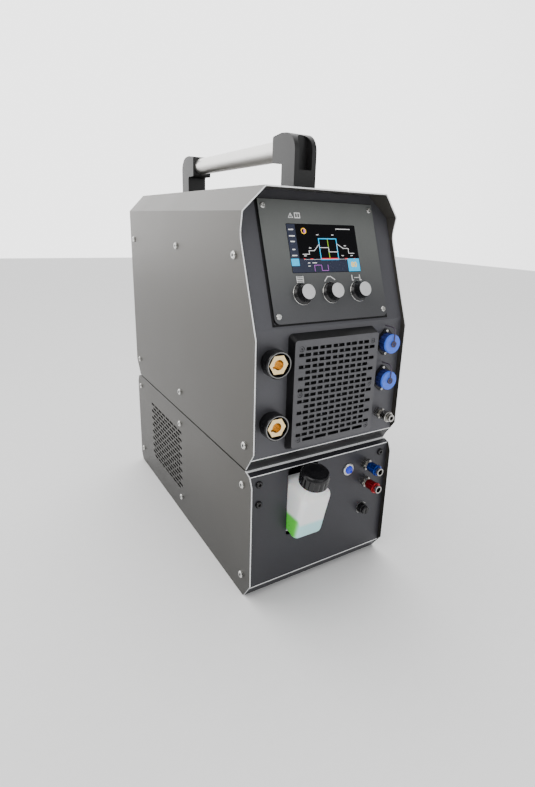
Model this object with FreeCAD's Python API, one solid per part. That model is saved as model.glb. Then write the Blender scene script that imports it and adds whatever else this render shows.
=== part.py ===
"""TIG welding power source standing on its own water cooler.

Millimetres, +Z up, +X to the right seen from the front, the front faces -Y.
The origin is on the floor, below the centre of the base.
"""
import FreeCAD, Part
import math
import os

# ---- overall sizes -------------------------------------------------------
WIDTH = 240.0
DEPTH = 503.0
BODY_TOP = 545.0
LOWER_TOP = 195.0          # top of the water cooler, where the power source stands
SHEET = 1.5
TOUCH = 0.1                # fit between sheet-metal pieces that bear on each other
RUN = 0.05                 # radial running fit of a shaft in its hole
CLEAR = 0.3                # gap between a moving piece and what it rests against

# ---- upper cover and front -------------------------------------------------
JOINT_GAP = 2.5            # dark line between the two boxes
CHAMFER_X = 27.5
CHAMFER_Z = 29.0
TILT = 20.0                # slope of the control panel from the vertical, degrees
NOSE_RISE = 28.5           # lower front corner cut of the upper cover
NOSE_BACK = 19.6
EDGE_FOLD_Z = 372.0        # where the cover's front edge starts to lean back
EDGE_TOP_BACK = 32.0
EDGE_BEND_Z = 490.0        # corner where the sloping edge turns upright again
EDGE_BEND_BACK = 43.0
EDGE_BEND_R = 30.0
UPPER_SETBACK = 8.5
LOWER_SETBACK = 10.5
REAR_SETBACK = 12.0
FOLD_Z = 381.0             # fold between the vertical and the sloping front panel
TRIM_Z = 213.6             # lower edge of the upper front panel
LIP_BACK = 20.0            # how far the slanted lips run back
FLANGE = 14.0              # upturned edges of the trays

# ---- lower cover -----------------------------------------------------------
LOWER_EDGE_Y = 3.3
LOWER_PANEL_TOP = 190.0
LOWER_PANEL_BASE = 18.0
LOWER_LID = 8.0            # how far the bent top of the lower panel runs back
FOOT_BACK = 21.8
FOOT_RISE = 27.0
LOWER_SHOULDER = 17.0      # height of the rounded upper corner of the lower cover

VENT_ROWS = 16
VENT_ROW_PITCH = 7.2
VENT_LOW = 45.8
VENT_BACK = 168.6          # centre of the side vent ahead of the rear edge
VENT_SPREAD = 86.0

# ---- control plate, display and knobs (along the slope, from the fold) ------
PLATE_HALF = 89.5
PLATE_LOW = 5.2
PLATE_HIGH = 158.5
PLATE_THICK = 4.0
PLATE_RADIUS = 8.0
PLATE_SCREW_X = 83.2
PLATE_SCREW_S = (14.5, 150.0)
DISPLAY_HALF = 54.2
DISPLAY_LOW = 66.8
DISPLAY_HIGH = 128.8
GLASS_THICK = 1.6
KNOB_X = 44.7
KNOB_S = 40.6
KNOB_R = 10.0
KNOB_SKIRT_R = 13.6
KNOB_HEIGHT = 15.0
KNOB_SHAFT_R = 3.0
BUSHING_R = 4.5
ENCODER_HALF = 7.0
ENCODER_DEEP = 10.5
BOARD_THICK = 1.6

# ---- front grille ----------------------------------------------------------
GRILLE_HALF = 67.0
GRILLE_LOW = 225.4
GRILLE_HIGH = 367.9
GRILLE_STAND = 12.9        # how far the grille face stands off the panel
GRILLE_FLARE_X = 2.0
GRILLE_FLARE_Z = 6.5
SLOT_LENGTH = 17.6
SLOT_HEIGHT = 4.4
SLOT_PITCH = 20.8
SLOT_ROUND = 0.9           # corner rounding of a slot
ROW_PITCH = 7.6
GRILLE_ROWS = 17
GRILLE_FIRST_ROW = 9.7     # lowest row above the lower edge of the grille face
RIB_WIDTH = 2.2            # upright ribs behind the slots of the grille
RIB_FRONT = 1.0            # behind the grille face
RIB_BACK = 3.6
GRILLE_SCREW_X = 57.0
GRILLE_SCREW_Z = (235.6, 297.5, 357.0)

# ---- connections on the upper front ------------------------------------------
SOCKET_X = -92.7
SOCKET_Z = (262.0, 342.5)
SOCKET_R = 17.4
SOCKET_STAND = 20.0
SOCKET_BORE_R = 6.5
SOCKET_HEX = 22.5
SOCKET_MOUTH_R = 14.9      # recess of the collar round the brass hexagon
SOCKET_KEY_ANGLE = -70     # keyway of the bore, from straight down
SOCKET_STUD_R = 8.0
SOCKET_TAIL = 26.0
CONNECTOR_X = 91.0
CONNECTOR_Z = (297.0, 349.6)
CONNECTOR_HALF_X = 12.8
CONNECTOR_HALF_Z = 18.5
CONNECTOR_SCREW = 16.0
CAP_R = 13.3
CAP_STAND = 17.0
CAP_BOSS_R = 2.2
CAP_TEETH = 16
TETHER_R = 0.8
TETHER_PASS = 4.5          # the tether's foot above the connector's flange
GAS_X = 90.0
GAS_Z = 244.9
GAS_STAND = 29.2
GAS_BORE_R = 3.0
SLEEVE_TRAVEL = 3.0

# ---- connections on the lower front ------------------------------------------
COUPLER_X = 76.4
COUPLER_Z = {"supply": 164.7, "return": 136.4}
COUPLER_STAND = 34.0
COUPLER_BORE_R = 4.0
COUPLER_BORE_DEEP = 20.0
COUPLER_TAIL = 14.0
BUTTON_X = 45.0
BUTTON_Z = 161.8
BUTTON_R = 9.3
FUSE_X = 76.4
FUSE_Z = 89.5
FUSE_R = 9.0
FUSE_BARREL_R = 7.2
FUSE_BARREL_HIGH = 7.5
FUSE_BORE_R = 4.3
FUSE_CAP_R = 6.2
FUSE_CAP_HIGH = 12.2
LOWER_SCREW_X = 104.7
LOWER_SCREW_Z = (147.3, 176.8)

# ---- coolant bottle ----------------------------------------------------------
BOTTLE_X = -35.0
BOTTLE_WIDTH = 48.0
BOTTLE_DEEP = 62.0
BOTTLE_TILT = 15.0
BOTTLE_BASE_Z = 86.5
BOTTLE_FORWARD = 8.7       # front lower edge ahead of the cover's front edge
BOTTLE_CORNER = 8.0
BOTTLE_LENGTH = 74.0       # from the base to the shoulder
SHOULDER_LENGTH = 11.0
BOTTLE_WALL = 1.8
NECK_R = 14.0
NECK_LENGTH = 16.0
NECK_Y = 18.0              # neck axis behind the bottle's front face
CAP_RADIUS = 20.4
CAP_LENGTH = 20.0
CAP_WALL = 2.2
COOLANT_LEVEL_Z = 114.5
CAP_RIBS = 36
SEAL_THICK = 1.6
BARB_LENGTH = 12.0
BARB_HEIGHTS = (10.0, 60.0)
CRADLE_HEIGHT = 55.0
WINDOW_HALF = 24.6
WINDOW_LOW = 84.7
WINDOW_HIGH = 189.0

# ---- handle ------------------------------------------------------------------
POST_HALF = 17.2
POST_FRONT = 91.0          # from the cover's front edge
POST_LEG = 32.0
POST_HEAD = 56.7
POST_TOP = 618.0
POST_HEAD_Z = 581.6
BOLT_SPREAD = 8.0          # post bolts either side of the leg's middle
TUBE_R = 13.9
TUBE_WALL = 2.0
TUBE_Z = 599.3
TUBE_INSERT = 22.0
POCKET_HALF = 10.2
POCKET_LOW = 571.0
POCKET_DEEP = 14.0

# ---- rear panel equipment ------------------------------------------------------
FAN_SIZE = 120.0
FAN_BORE_R = 57.0
FAN_HUB_R = 21.0
FAN_DEEP = 38.0
COOLER_FAN_DEEP = 25.0
FAN_BLADES = 7
FAN_PIN_R = 3.0
GUARD_ROWS = 13
MAIN_FAN_Z = 300.0
COOLER_FAN_Z = 98.0
SWITCH_X = 70.0
SWITCH_Z = 470.0
SWITCH_HALF_X = 13.0
SWITCH_HALF_Z = 17.0
SWITCH_DEEP = 32.0
ROCKER_SWING = 24.0
ROCKER_DROP = 5.0
ROCKER_PIN_R = 1.5
ROCKER_GAP = 3.0
GLAND_X = 70.0
GLAND_Z = 410.0
GLAND_R = 13.0
GLAND_BORE_R = 6.5
GAS_INLET_X = -80.0
GAS_INLET_Z = 410.0
BARB_R = 4.2

# ---- inside the power source ---------------------------------------------------
SINK_LENGTH = 130.0
SINK_WIDTH = 54.0
SINK_HEIGHT = 146.0
SINK_GAP = 4.0
SINK_PITCH = 9.0
BOARD_HALF = 100.0
CAN_R = 17.5
CAN_HEIGHT = 45.0
CHOKE_X = 55.0
CHOKE_Y = -60.0
CHOKE_R = 34.0
CHOKE_BORE = 14.0
CHOKE_HEIGHT = 36.0
GAS_HOSE_R = 4.0
GAS_HOSE_HIGH = 440.0

# ---- inside the water cooler -----------------------------------------------------
PUMP_X = 60.0
PUMP_BACK = 101.5          # pump head behind the cover's front edge
PUMP_PORT_Z = 45.0
HOSE_R = 5.0
HOSE_HIGH = 172.0
RADIATOR_HALF = 75.0
RADIATOR_DEEP = 32.0
RADIATOR_TOP = 168.0
RADIATOR_LOW = 30.0
RADIATOR_PITCH = 10.0
RADIATOR_ROWS = 12
RADIATOR_PORT = 12.0
RADIATOR_PORT_X = 50.0
RADIATOR_PORT_Z = 158.0

# ---- screws ------------------------------------------------------------------
SCREW_HEAD_R = 5.0
SCREW_HEAD_H = 3.0
SCREW_SHANK_R = 2.5
SCREW_LENGTH = 10.0
SMALL_HEAD_R = 3.6
SMALL_HEAD_H = 1.8
SMALL_SHANK_R = 1.6
# height of each row of side screws: places behind the cover's front edge
UPPER_SIDE_SCREWS = {
    465.4: (55.6, DEPTH / 2 + 1.3, DEPTH - 24.0),
    231.0: (22.9, DEPTH / 2 + 1.3, DEPTH - 24.0),
}
LOWER_SIDE_SCREWS = {
    172.8: (27.0, DEPTH / 2 + 5.5, DEPTH - 22.0),
    32.5: (27.0, DEPTH / 2 + 5.5, DEPTH - 22.0),
}

# ---- values worked out from the sizes above --------------------------------------
FRONT = -DEPTH / 2
REAR = DEPTH / 2
HALF = WIDTH / 2
PUMP_Y = FRONT + PUMP_BACK
INNER = HALF - SHEET - TOUCH            # half-width of what fits between the sides
UPPER_Y = FRONT + UPPER_SETBACK         # outer face of the upper front panel
LOWER_Y = FRONT + LOWER_SETBACK
REAR_Y = REAR - REAR_SETBACK
REAR_POST_INSET = REAR - REAR_Y + SHEET + BOLT_SPREAD + SCREW_HEAD_R + 0.5 - POST_LEG / 2
SINK_BACK = REAR_Y - SHEET - FAN_DEEP - 8
SINK_FRONT = SINK_BACK - SINK_LENGTH
UPPER_BASE = LOWER_TOP + JOINT_GAP      # lower edge of the upper cover
UPPER_FLOOR = LOWER_TOP + SHEET         # inside of the upper tray
SLOPE = math.tan(math.radians(TILT))
V = FreeCAD.Vector


# ---- drawing helpers -----------------------------------------------------------
def outline(points):
    """Closed wire in the XY plane; a point (x, y, r) is a corner rounded to radius r."""
    count = len(points)
    ends = []
    edges = []
    for i, point in enumerate(points):
        here = V(point[0], point[1], 0)
        radius = point[2] if len(point) > 2 else 0.0
        if radius == 0.0:
            ends.append((here, here))
            continue
        before = (V(points[i - 1][0], points[i - 1][1], 0) - here).normalize()
        after = (V(points[(i + 1) % count][0], points[(i + 1) % count][1], 0) - here).normalize()
        half = before.getAngle(after) / 2
        reach = radius / math.tan(half)
        start = here + before * reach
        end = here + after * reach
        toward = (before + after).normalize()
        middle = here + toward * (radius / math.sin(half) - radius)
        edges.append((i, Part.Arc(start, middle, end).toShape()))
        ends.append((start, end))
    arcs = dict(edges)
    loop = []
    for i in range(count):
        if i in arcs:
            loop.append(arcs[i])
        leave = ends[i][1]
        arrive = ends[(i + 1) % count][0]
        if (arrive - leave).Length > 1e-6:
            loop.append(Part.makeLine(leave, arrive))
    return Part.Wire(loop)


def slab(points, low, high):
    """Outline in XY, extruded from height low to high."""
    face = Part.Face(outline(points))
    face.translate(V(0, 0, low))
    return face.extrude(V(0, 0, high - low))


def side_slab(points, x0, x1):
    """Outline given as (y, z), extruded along X."""
    shape = slab(points, x0, x1)
    shape.transformShape(FreeCAD.Matrix(0, 0, 1, 0, 1, 0, 0, 0, 0, 1, 0, 0, 0, 0, 0, 1))
    return shape


def cross_slab(points, y0, y1):
    """Outline given as (x, z), extruded along Y."""
    shape = slab(points, -y1, -y0)
    shape.rotate(V(0, 0, 0), V(1, 0, 0), 90)
    return shape


def rectangle(half_x, low, high, radius=0.0):
    """Four corners of a rectangle centred on x = 0, each rounded to the radius."""
    return [(-half_x, low, radius), (half_x, low, radius), (half_x, high, radius), (-half_x, high, radius)]


def corners(x0, x1, y0, y1, radius=0.0):
    return [(x0, y0, radius), (x1, y0, radius), (x1, y1, radius), (x0, y1, radius)]


def box(x0, x1, y0, y1, z0, z1):
    return Part.makeBox(x1 - x0, y1 - y0, z1 - z0, V(x0, y0, z0))


def disc(radius, low, high, x=0.0, y=0.0):
    """Cylinder along Z."""
    return Part.makeCylinder(radius, high - low, V(x, y, low))


def ring(outer, inner, low, high):
    return disc(outer, low, high).cut(disc(inner, low, high))


def turned(profile):
    """Solid turned about Z from a closed profile of (radius, height) points."""
    points = [V(r, 0, h) for r, h in profile]
    return Part.Face(Part.makePolygon(points + points[:1])).revolve(V(0, 0, 0), V(0, 0, 1), 360)


def hexagon(across_flats, low, high):
    radius = across_flats / math.sqrt(3)
    turns = [math.radians(a) for a in range(0, 360, 60)]
    return slab([(radius * math.cos(a), radius * math.sin(a)) for a in turns], low, high)


def strip(points, thickness, half_width):
    """Bent sheet: a (y, z) path given thickness on its left side, extruded along X."""
    path = [V(y, z, 0) for y, z in points]
    normals = []
    for start, end in zip(path, path[1:]):
        along = (end - start).normalize()
        normals.append(V(-along.y, along.x, 0))
    offset = []
    for i, point in enumerate(path):
        before = normals[max(i - 1, 0)]
        after = normals[min(i, len(normals) - 1)]
        mitre = (before + after).normalize()
        offset.append(point + mitre * (thickness / mitre.dot(after)))
    ring_points = [(p.x, p.y) for p in path + offset[::-1]]
    return side_slab(ring_points, -half_width, half_width)


def cut(shape, tools):
    return shape.cut(list(tools)) if tools else shape


def fuse(shapes):
    return shapes[0].fuse(shapes[1:]).removeSplitter() if len(shapes) > 1 else shapes[0]


def to_front(shape, x, z, y):
    """Local height becomes the outward direction of the front, local Y becomes up."""
    moved = shape.copy()
    moved.rotate(V(0, 0, 0), V(1, 0, 0), 90)
    moved.translate(V(x, y, z))
    return moved


def to_rear(shape, x, z, y):
    moved = shape.copy()
    moved.rotate(V(0, 0, 0), V(1, 0, 0), -90)
    moved.translate(V(x, y, z))
    return moved


def to_slope(shape):
    """Local X across, local Y up the sloping panel from its fold, local Z out of it."""
    moved = shape.copy()
    moved.rotate(V(0, 0, 0), V(1, 0, 0), 90 - TILT)
    moved.translate(V(0, UPPER_Y, FOLD_Z))
    return moved


def to_side(shape, side, y, z):
    """Local height becomes the outward direction of the side (+1 right, -1 left)."""
    moved = shape.copy()
    moved.rotate(V(0, 0, 0), V(0, 1, 0), 90 * side)
    moved.translate(V(side * HALF, y, z))
    return moved


def shifted(shape, x=0.0, y=0.0, z=0.0):
    copy = shape.copy()
    copy.translate(V(x, y, z))
    return copy


def save(node, *shapes):
    """Write one node; every separate piece in it stays a solid of its own."""
    solids = [solid for shape in shapes for solid in shape.Solids]
    Part.makeCompound(solids).exportStep(os.path.join("parts", node + ".step"))


def pan_screw(head_r=SCREW_HEAD_R, shank_r=SCREW_SHANK_R, length=SCREW_LENGTH, lift=0.0, head_h=SCREW_HEAD_H):
    """Pan-head screw with a hexagon socket; its head bears on height `lift`."""
    top = lift + head_h
    crown = lift + head_h * 0.6
    body = turned([(0, -length), (shank_r, -length), (shank_r, lift), (head_r, lift),
                   (head_r, crown), (head_r * 0.8, top), (0, top)])
    return body.cut(hexagon(head_r * 0.8, crown - head_h * 0.3, top + 1))


def slot_rows(rows, pitch, first, spread, low, high):
    """Brick pattern of rounded slots, rows counted upwards from height `first`."""
    half = SLOT_LENGTH / 2
    thin = SLOT_HEIGHT / 2
    cutters = []
    for row in range(rows):
        y = first + row * pitch
        shift = SLOT_PITCH / 2 if row % 2 else 0.0
        count = int((spread - half - shift) // SLOT_PITCH)
        start = -count if shift == 0.0 else -count - 1
        for step in range(start, count + 1):
            x = step * SLOT_PITCH + shift
            cutters.append(slab(corners(x - half, x + half, y - thin, y + thin, SLOT_ROUND), low, high))
    return cutters


def pipe(points, radius):
    """Round rod or hose through the points, with ball joints at the bends."""
    pieces = []
    for start, end in zip(points, points[1:]):
        step = V(*end) - V(*start)
        pieces.append(Part.makeCylinder(radius, step.Length, V(*start), step))
    for point in points[1:-1]:
        pieces.append(Part.makeSphere(radius, V(*point)))
    return fuse(pieces)


# ---- the outlines of the two covers --------------------------------------------------
def upper_outline(inset, low):
    """Front view of the upper cover, drawn inset from its outside."""
    drop = inset * math.tan(math.radians(22.5))
    half = HALF - inset
    top = BODY_TOP - inset
    return [(-half, low), (half, low), (half, BODY_TOP - CHAMFER_Z - drop), (HALF - CHAMFER_X - drop, top),
            (-HALF + CHAMFER_X + drop, top), (-half, BODY_TOP - CHAMFER_Z - drop)]


def upper_profile():
    """Side view of the upper cover: cut nose, upright edge, slope, bend and lean at the top."""
    return [(FRONT + NOSE_BACK, UPPER_BASE), (FRONT, UPPER_BASE + NOSE_RISE), (FRONT, EDGE_FOLD_Z),
            (FRONT + EDGE_BEND_BACK, EDGE_BEND_Z, EDGE_BEND_R), (FRONT + EDGE_TOP_BACK, BODY_TOP),
            (REAR, BODY_TOP), (REAR, UPPER_BASE + NOSE_RISE), (REAR - NOSE_BACK, UPPER_BASE)]


def lower_profile():
    """Side view of the lower cover, with the rounded upper corner and the cut foot."""
    edge = FRONT + LOWER_EDGE_Y
    shoulder = LOWER_TOP - LOWER_SHOULDER
    return [(FRONT + FOOT_BACK, 0), (edge, FOOT_RISE), (edge, shoulder, 6),
            (edge + 5.4, LOWER_TOP - 4.3, 6), (FRONT + FOOT_BACK, LOWER_TOP),
            (REAR - FOOT_BACK + LOWER_EDGE_Y, LOWER_TOP), (REAR - 6, LOWER_TOP - 4.3, 6),
            (REAR, shoulder, 6), (REAR, FOOT_RISE / 2), (REAR - NOSE_BACK / 2, 0)]


def side_screw_holes(rows):
    holes = []
    for z, places in rows.items():
        for back in places:
            for side in (-1, 1):
                holes.append(to_side(disc(SCREW_SHANK_R + TOUCH, -SHEET * 4, SHEET), side, FRONT + back, z))
    return holes


# ---- sheet metal of the power source ----------------------------------------------------
def build_upper_shell():
    shell = cross_slab(upper_outline(0, UPPER_BASE), FRONT, REAR)
    hollow = cross_slab(upper_outline(SHEET, UPPER_BASE - 1), FRONT - 1, REAR + 1)
    profile = side_slab(upper_profile(), -HALF - 1, HALF + 1)
    cover = shell.cut(hollow).common(profile)
    holes = side_screw_holes(UPPER_SIDE_SCREWS)
    bolt_hole = disc(SCREW_SHANK_R + TOUCH, BODY_TOP - SHEET * 2, BODY_TOP + 1)
    holes += [shifted(bolt_hole, 0, y) for y in post_bolt_places()]
    save("upper_cover", cut(cover, holes))

    inside_front = UPPER_Y + SHEET
    inside_rear = REAR_Y - SHEET
    floor = strip([(inside_front, TRIM_Z + FLANGE), (inside_front, TRIM_Z), (FRONT + LIP_BACK, LOWER_TOP),
                   (REAR - LIP_BACK, LOWER_TOP), (inside_rear, TRIM_Z), (inside_rear, TRIM_Z + FLANGE)],
                  SHEET, INNER)
    flanges = [box(min(s * INNER, s * (INNER - SHEET)), max(s * INNER, s * (INNER - SHEET)),
                   FRONT + LIP_BACK, REAR - LIP_BACK, LOWER_TOP, TRIM_Z + FLANGE * 2) for s in (-1, 1)]
    tray = fuse([floor] + flanges)
    nose = side_slab([(FRONT + NOSE_BACK, LOWER_TOP - 1), (FRONT, UPPER_BASE + NOSE_RISE), (FRONT, BODY_TOP),
                      (REAR, BODY_TOP), (REAR, UPPER_BASE + NOSE_RISE), (REAR - NOSE_BACK, LOWER_TOP - 1)],
                     -HALF, HALF)
    save("upper_tray", cut(tray.common(nose), side_screw_holes(UPPER_SIDE_SCREWS)))


def upper_inside():
    """Space between the sides of the upper cover, where its panels stand."""
    return cross_slab(upper_outline(SHEET + TOUCH, TRIM_Z), FRONT, REAR)


def build_upper_front():
    top = BODY_TOP - SHEET - TOUCH
    sheet = strip([(UPPER_Y + (top - FOLD_Z) * SLOPE, top), (UPPER_Y, FOLD_Z), (UPPER_Y, TRIM_Z)],
                  SHEET, INNER)
    sheet = sheet.common(upper_inside())
    holes = [to_front(disc(SOCKET_STUD_R + TOUCH, -SHEET * 2, 1), SOCKET_X, z, UPPER_Y) for z in SOCKET_Z]
    holes += [to_front(disc(CAP_R - 4.0, -SHEET * 2, 1), CONNECTOR_X, z, UPPER_Y) for z in CONNECTOR_Z]
    holes.append(to_front(disc(5.0, -SHEET * 2, 1), GAS_X, GAS_Z, UPPER_Y))
    holes.append(to_front(slab(rectangle(GRILLE_HALF - 9, GRILLE_LOW + 8, GRILLE_HIGH - 8, 4), -SHEET * 2, 1),
                          0, 0, UPPER_Y))
    slope_cuts = [slab(rectangle(DISPLAY_HALF - 4, DISPLAY_LOW + 4, DISPLAY_HIGH - 4, 2), -SHEET * 2, 1)]
    slope_cuts += [disc(BUSHING_R + TOUCH, -SHEET * 2, 1, x, KNOB_S) for x in knob_places()]
    slope_cuts += [disc(SMALL_SHANK_R + TOUCH, -SHEET * 2, 1, x, s) for x, s in plate_screw_places()]
    save("upper_front_panel", cut(sheet, holes + [to_slope(c) for c in slope_cuts]))


def knob_places():
    return (-KNOB_X, 0.0, KNOB_X)


def plate_screw_places():
    return [(x, s) for s in PLATE_SCREW_S for x in (-PLATE_SCREW_X, PLATE_SCREW_X)]


def grille_screw_places():
    return [(x, z) for z in GRILLE_SCREW_Z for x in (-GRILLE_SCREW_X, GRILLE_SCREW_X)]


def build_control_plate():
    plate = slab([(-PLATE_HALF, PLATE_LOW, PLATE_RADIUS), (PLATE_HALF, PLATE_LOW, PLATE_RADIUS),
                  (PLATE_HALF, PLATE_HIGH), (-PLATE_HALF, PLATE_HIGH)], 0, PLATE_THICK)
    window = slab(rectangle(DISPLAY_HALF + TOUCH, DISPLAY_LOW - TOUCH, DISPLAY_HIGH + TOUCH, 1.5),
                  PLATE_THICK - GLASS_THICK, PLATE_THICK + 1)
    behind = slab(rectangle(DISPLAY_HALF - 4, DISPLAY_LOW + 4, DISPLAY_HIGH - 4, 2), -1, PLATE_THICK)
    holes = [disc(BUSHING_R + TOUCH, -1, PLATE_THICK + 1, x, KNOB_S) for x in knob_places()]
    holes += [disc(SMALL_SHANK_R + TOUCH, -1, PLATE_THICK + 1, x, s) for x, s in plate_screw_places()]
    save("control_plate", to_slope(cut(plate, [window, behind] + holes)))
    glass_back = PLATE_THICK - GLASS_THICK
    glass = slab(rectangle(DISPLAY_HALF, DISPLAY_LOW, DISPLAY_HIGH, 1.5), glass_back, PLATE_THICK)
    save("display_glass", to_slope(glass))
    half = DISPLAY_HALF - 4 - TOUCH
    module = slab(rectangle(half, DISPLAY_LOW + 4 + TOUCH, DISPLAY_HIGH - 4 - TOUCH, 1),
                  -ENCODER_DEEP - SHEET, PLATE_THICK - GLASS_THICK)
    save("display_module", to_slope(module))


def build_knobs():
    skirt = PLATE_THICK + CLEAR
    front = PLATE_THICK + KNOB_HEIGHT
    profile = [(0, front), (KNOB_R - 0.8, front), (KNOB_R, front - 0.8), (KNOB_R + 0.4, skirt + 4.0),
               (KNOB_SKIRT_R - 1.0, skirt + 2.2), (KNOB_SKIRT_R, skirt), (KNOB_SHAFT_R + 3, skirt),
               (KNOB_SHAFT_R + 3, front - 4), (0, front - 4)]
    shaft = [(0, -SHEET - ENCODER_DEEP / 2), (KNOB_SHAFT_R, -SHEET - ENCODER_DEEP / 2),
             (KNOB_SHAFT_R, skirt + 1), (KNOB_SHAFT_R + 3, skirt + 1), (KNOB_SHAFT_R + 3, front - 4),
             (0, front - 4)]
    for name, x in zip(("left", "centre", "right"), knob_places()):
        pieces = [to_slope(shifted(turned(part), x, KNOB_S)) for part in (profile, shaft)]
        save("knob_" + name, *pieces)
    bodies = []
    for x in knob_places():
        case = box(x - ENCODER_HALF, x + ENCODER_HALF, KNOB_S - ENCODER_HALF, KNOB_S + ENCODER_HALF,
                   -SHEET - ENCODER_DEEP, -SHEET)
        body = case.fuse(disc(BUSHING_R, -SHEET, PLATE_THICK, x, KNOB_S))
        well = -SHEET - ENCODER_DEEP / 2 - CLEAR
        bodies.append(body.cut(disc(KNOB_SHAFT_R + RUN, well, PLATE_THICK + 1, x, KNOB_S)))
    save("encoder_bodies", *[to_slope(body) for body in bodies])
    back = -SHEET - ENCODER_DEEP
    board = slab(rectangle(PLATE_HALF - 6, PLATE_LOW + 12, DISPLAY_HIGH + 8, 3), back - BOARD_THICK, back)
    save("control_board", to_slope(board))


def build_grille():
    low = GRILLE_LOW - GRILLE_FLARE_Z
    high = GRILLE_HIGH + GRILLE_FLARE_Z
    base = outline(rectangle(GRILLE_HALF + GRILLE_FLARE_X, low, high, 6))
    face = outline(rectangle(GRILLE_HALF, GRILLE_LOW, GRILLE_HIGH, 4))
    face.translate(V(0, 0, GRILLE_STAND))
    housing = Part.makeLoft([base, face], True, True)
    hollow_base = outline(rectangle(GRILLE_HALF - 2.5, low + 5, high - 5, 4))
    hollow_base.translate(V(0, 0, -1))
    hollow_face = outline(rectangle(GRILLE_HALF - 4.5, GRILLE_LOW + 2.5, GRILLE_HIGH - 2.5, 3))
    hollow_face.translate(V(0, 0, GRILLE_STAND - 2.5))
    hollow = Part.makeLoft([hollow_base, hollow_face], True, True)
    slots = slot_rows(GRILLE_ROWS, ROW_PITCH, GRILLE_LOW + GRILLE_FIRST_ROW, GRILLE_HALF - 5,
                      GRILLE_STAND - 4, GRILLE_STAND + 1)
    bosses = [disc(4.5, 0, GRILLE_STAND, x, z) for x, z in grille_screw_places()]
    holes = [disc(SMALL_SHANK_R + TOUCH, -1, GRILLE_STAND + 1, x, z) for x, z in grille_screw_places()]
    holes += [disc(SMALL_HEAD_R, GRILLE_STAND - 2, GRILLE_STAND + 1, x, z) for x, z in grille_screw_places()]
    rib_low = GRILLE_LOW + GRILLE_FIRST_ROW + ROW_PITCH / 2
    rib_high = GRILLE_HIGH - GRILLE_FLARE_Z
    rib_step = SLOT_PITCH / 2
    last_rib = int((GRILLE_HALF - 9) // rib_step)
    ribs = [slab(corners(i * rib_step - RIB_WIDTH / 2, i * rib_step + RIB_WIDTH / 2, rib_low, rib_high),
                 GRILLE_STAND - RIB_BACK, GRILLE_STAND - RIB_FRONT) for i in range(-last_rib, last_rib + 1)]
    grille = cut(fuse([cut(housing.cut(hollow), slots)] + ribs + bosses), holes)
    save("front_grille", to_front(grille, 0, 0, UPPER_Y))


# ---- connections on the upper front ------------------------------------------------------
def build_sockets():
    collar = turned([(SOCKET_STUD_R, 0), (SOCKET_R * 0.86, 0), (SOCKET_R * 0.86, 4), (SOCKET_R, 6),
                     (SOCKET_R, SOCKET_STAND - 1.5), (SOCKET_R - 1.5, SOCKET_STAND),
                     (SOCKET_MOUTH_R, SOCKET_STAND), (SOCKET_MOUTH_R, 8), (SOCKET_STUD_R, 8)])
    slot = slab([(-1.6, -SOCKET_BORE_R - 2.2), (1.6, -SOCKET_BORE_R - 2.2), (1.6, 0), (-1.6, 0)],
                SOCKET_STAND - 13, SOCKET_STAND + 1)
    slot.rotate(V(0, 0, 0), V(0, 0, 1), SOCKET_KEY_ANGLE)
    contact = hexagon(SOCKET_HEX, 8, SOCKET_STAND - 2).fuse(disc(SOCKET_STUD_R, -SOCKET_TAIL, 8))
    contact = cut(contact, [disc(SOCKET_BORE_R, SOCKET_STAND - 24, SOCKET_STAND), slot]).removeSplitter()
    nut = hexagon(SOCKET_HEX, -SHEET - 6, -SHEET).cut(disc(SOCKET_STUD_R, -SOCKET_TAIL, 0))
    for node, piece in (("socket_collars", collar), ("socket_contacts", contact), ("socket_nuts", nut)):
        save(node, *[to_front(piece, SOCKET_X, z, UPPER_Y) for z in SOCKET_Z])


def connector_flange():
    half_x = CONNECTOR_HALF_X
    half_z = CONNECTOR_HALF_Z
    return slab([(-half_x, -9.3), (-2.8, -half_z, 1.5), (2.8, -half_z, 1.5), (half_x, -9.3), (half_x, 9.3),
                 (2.8, half_z, 1.5), (-2.8, half_z, 1.5), (-half_x, 9.3)], 0, 2.6)


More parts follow.
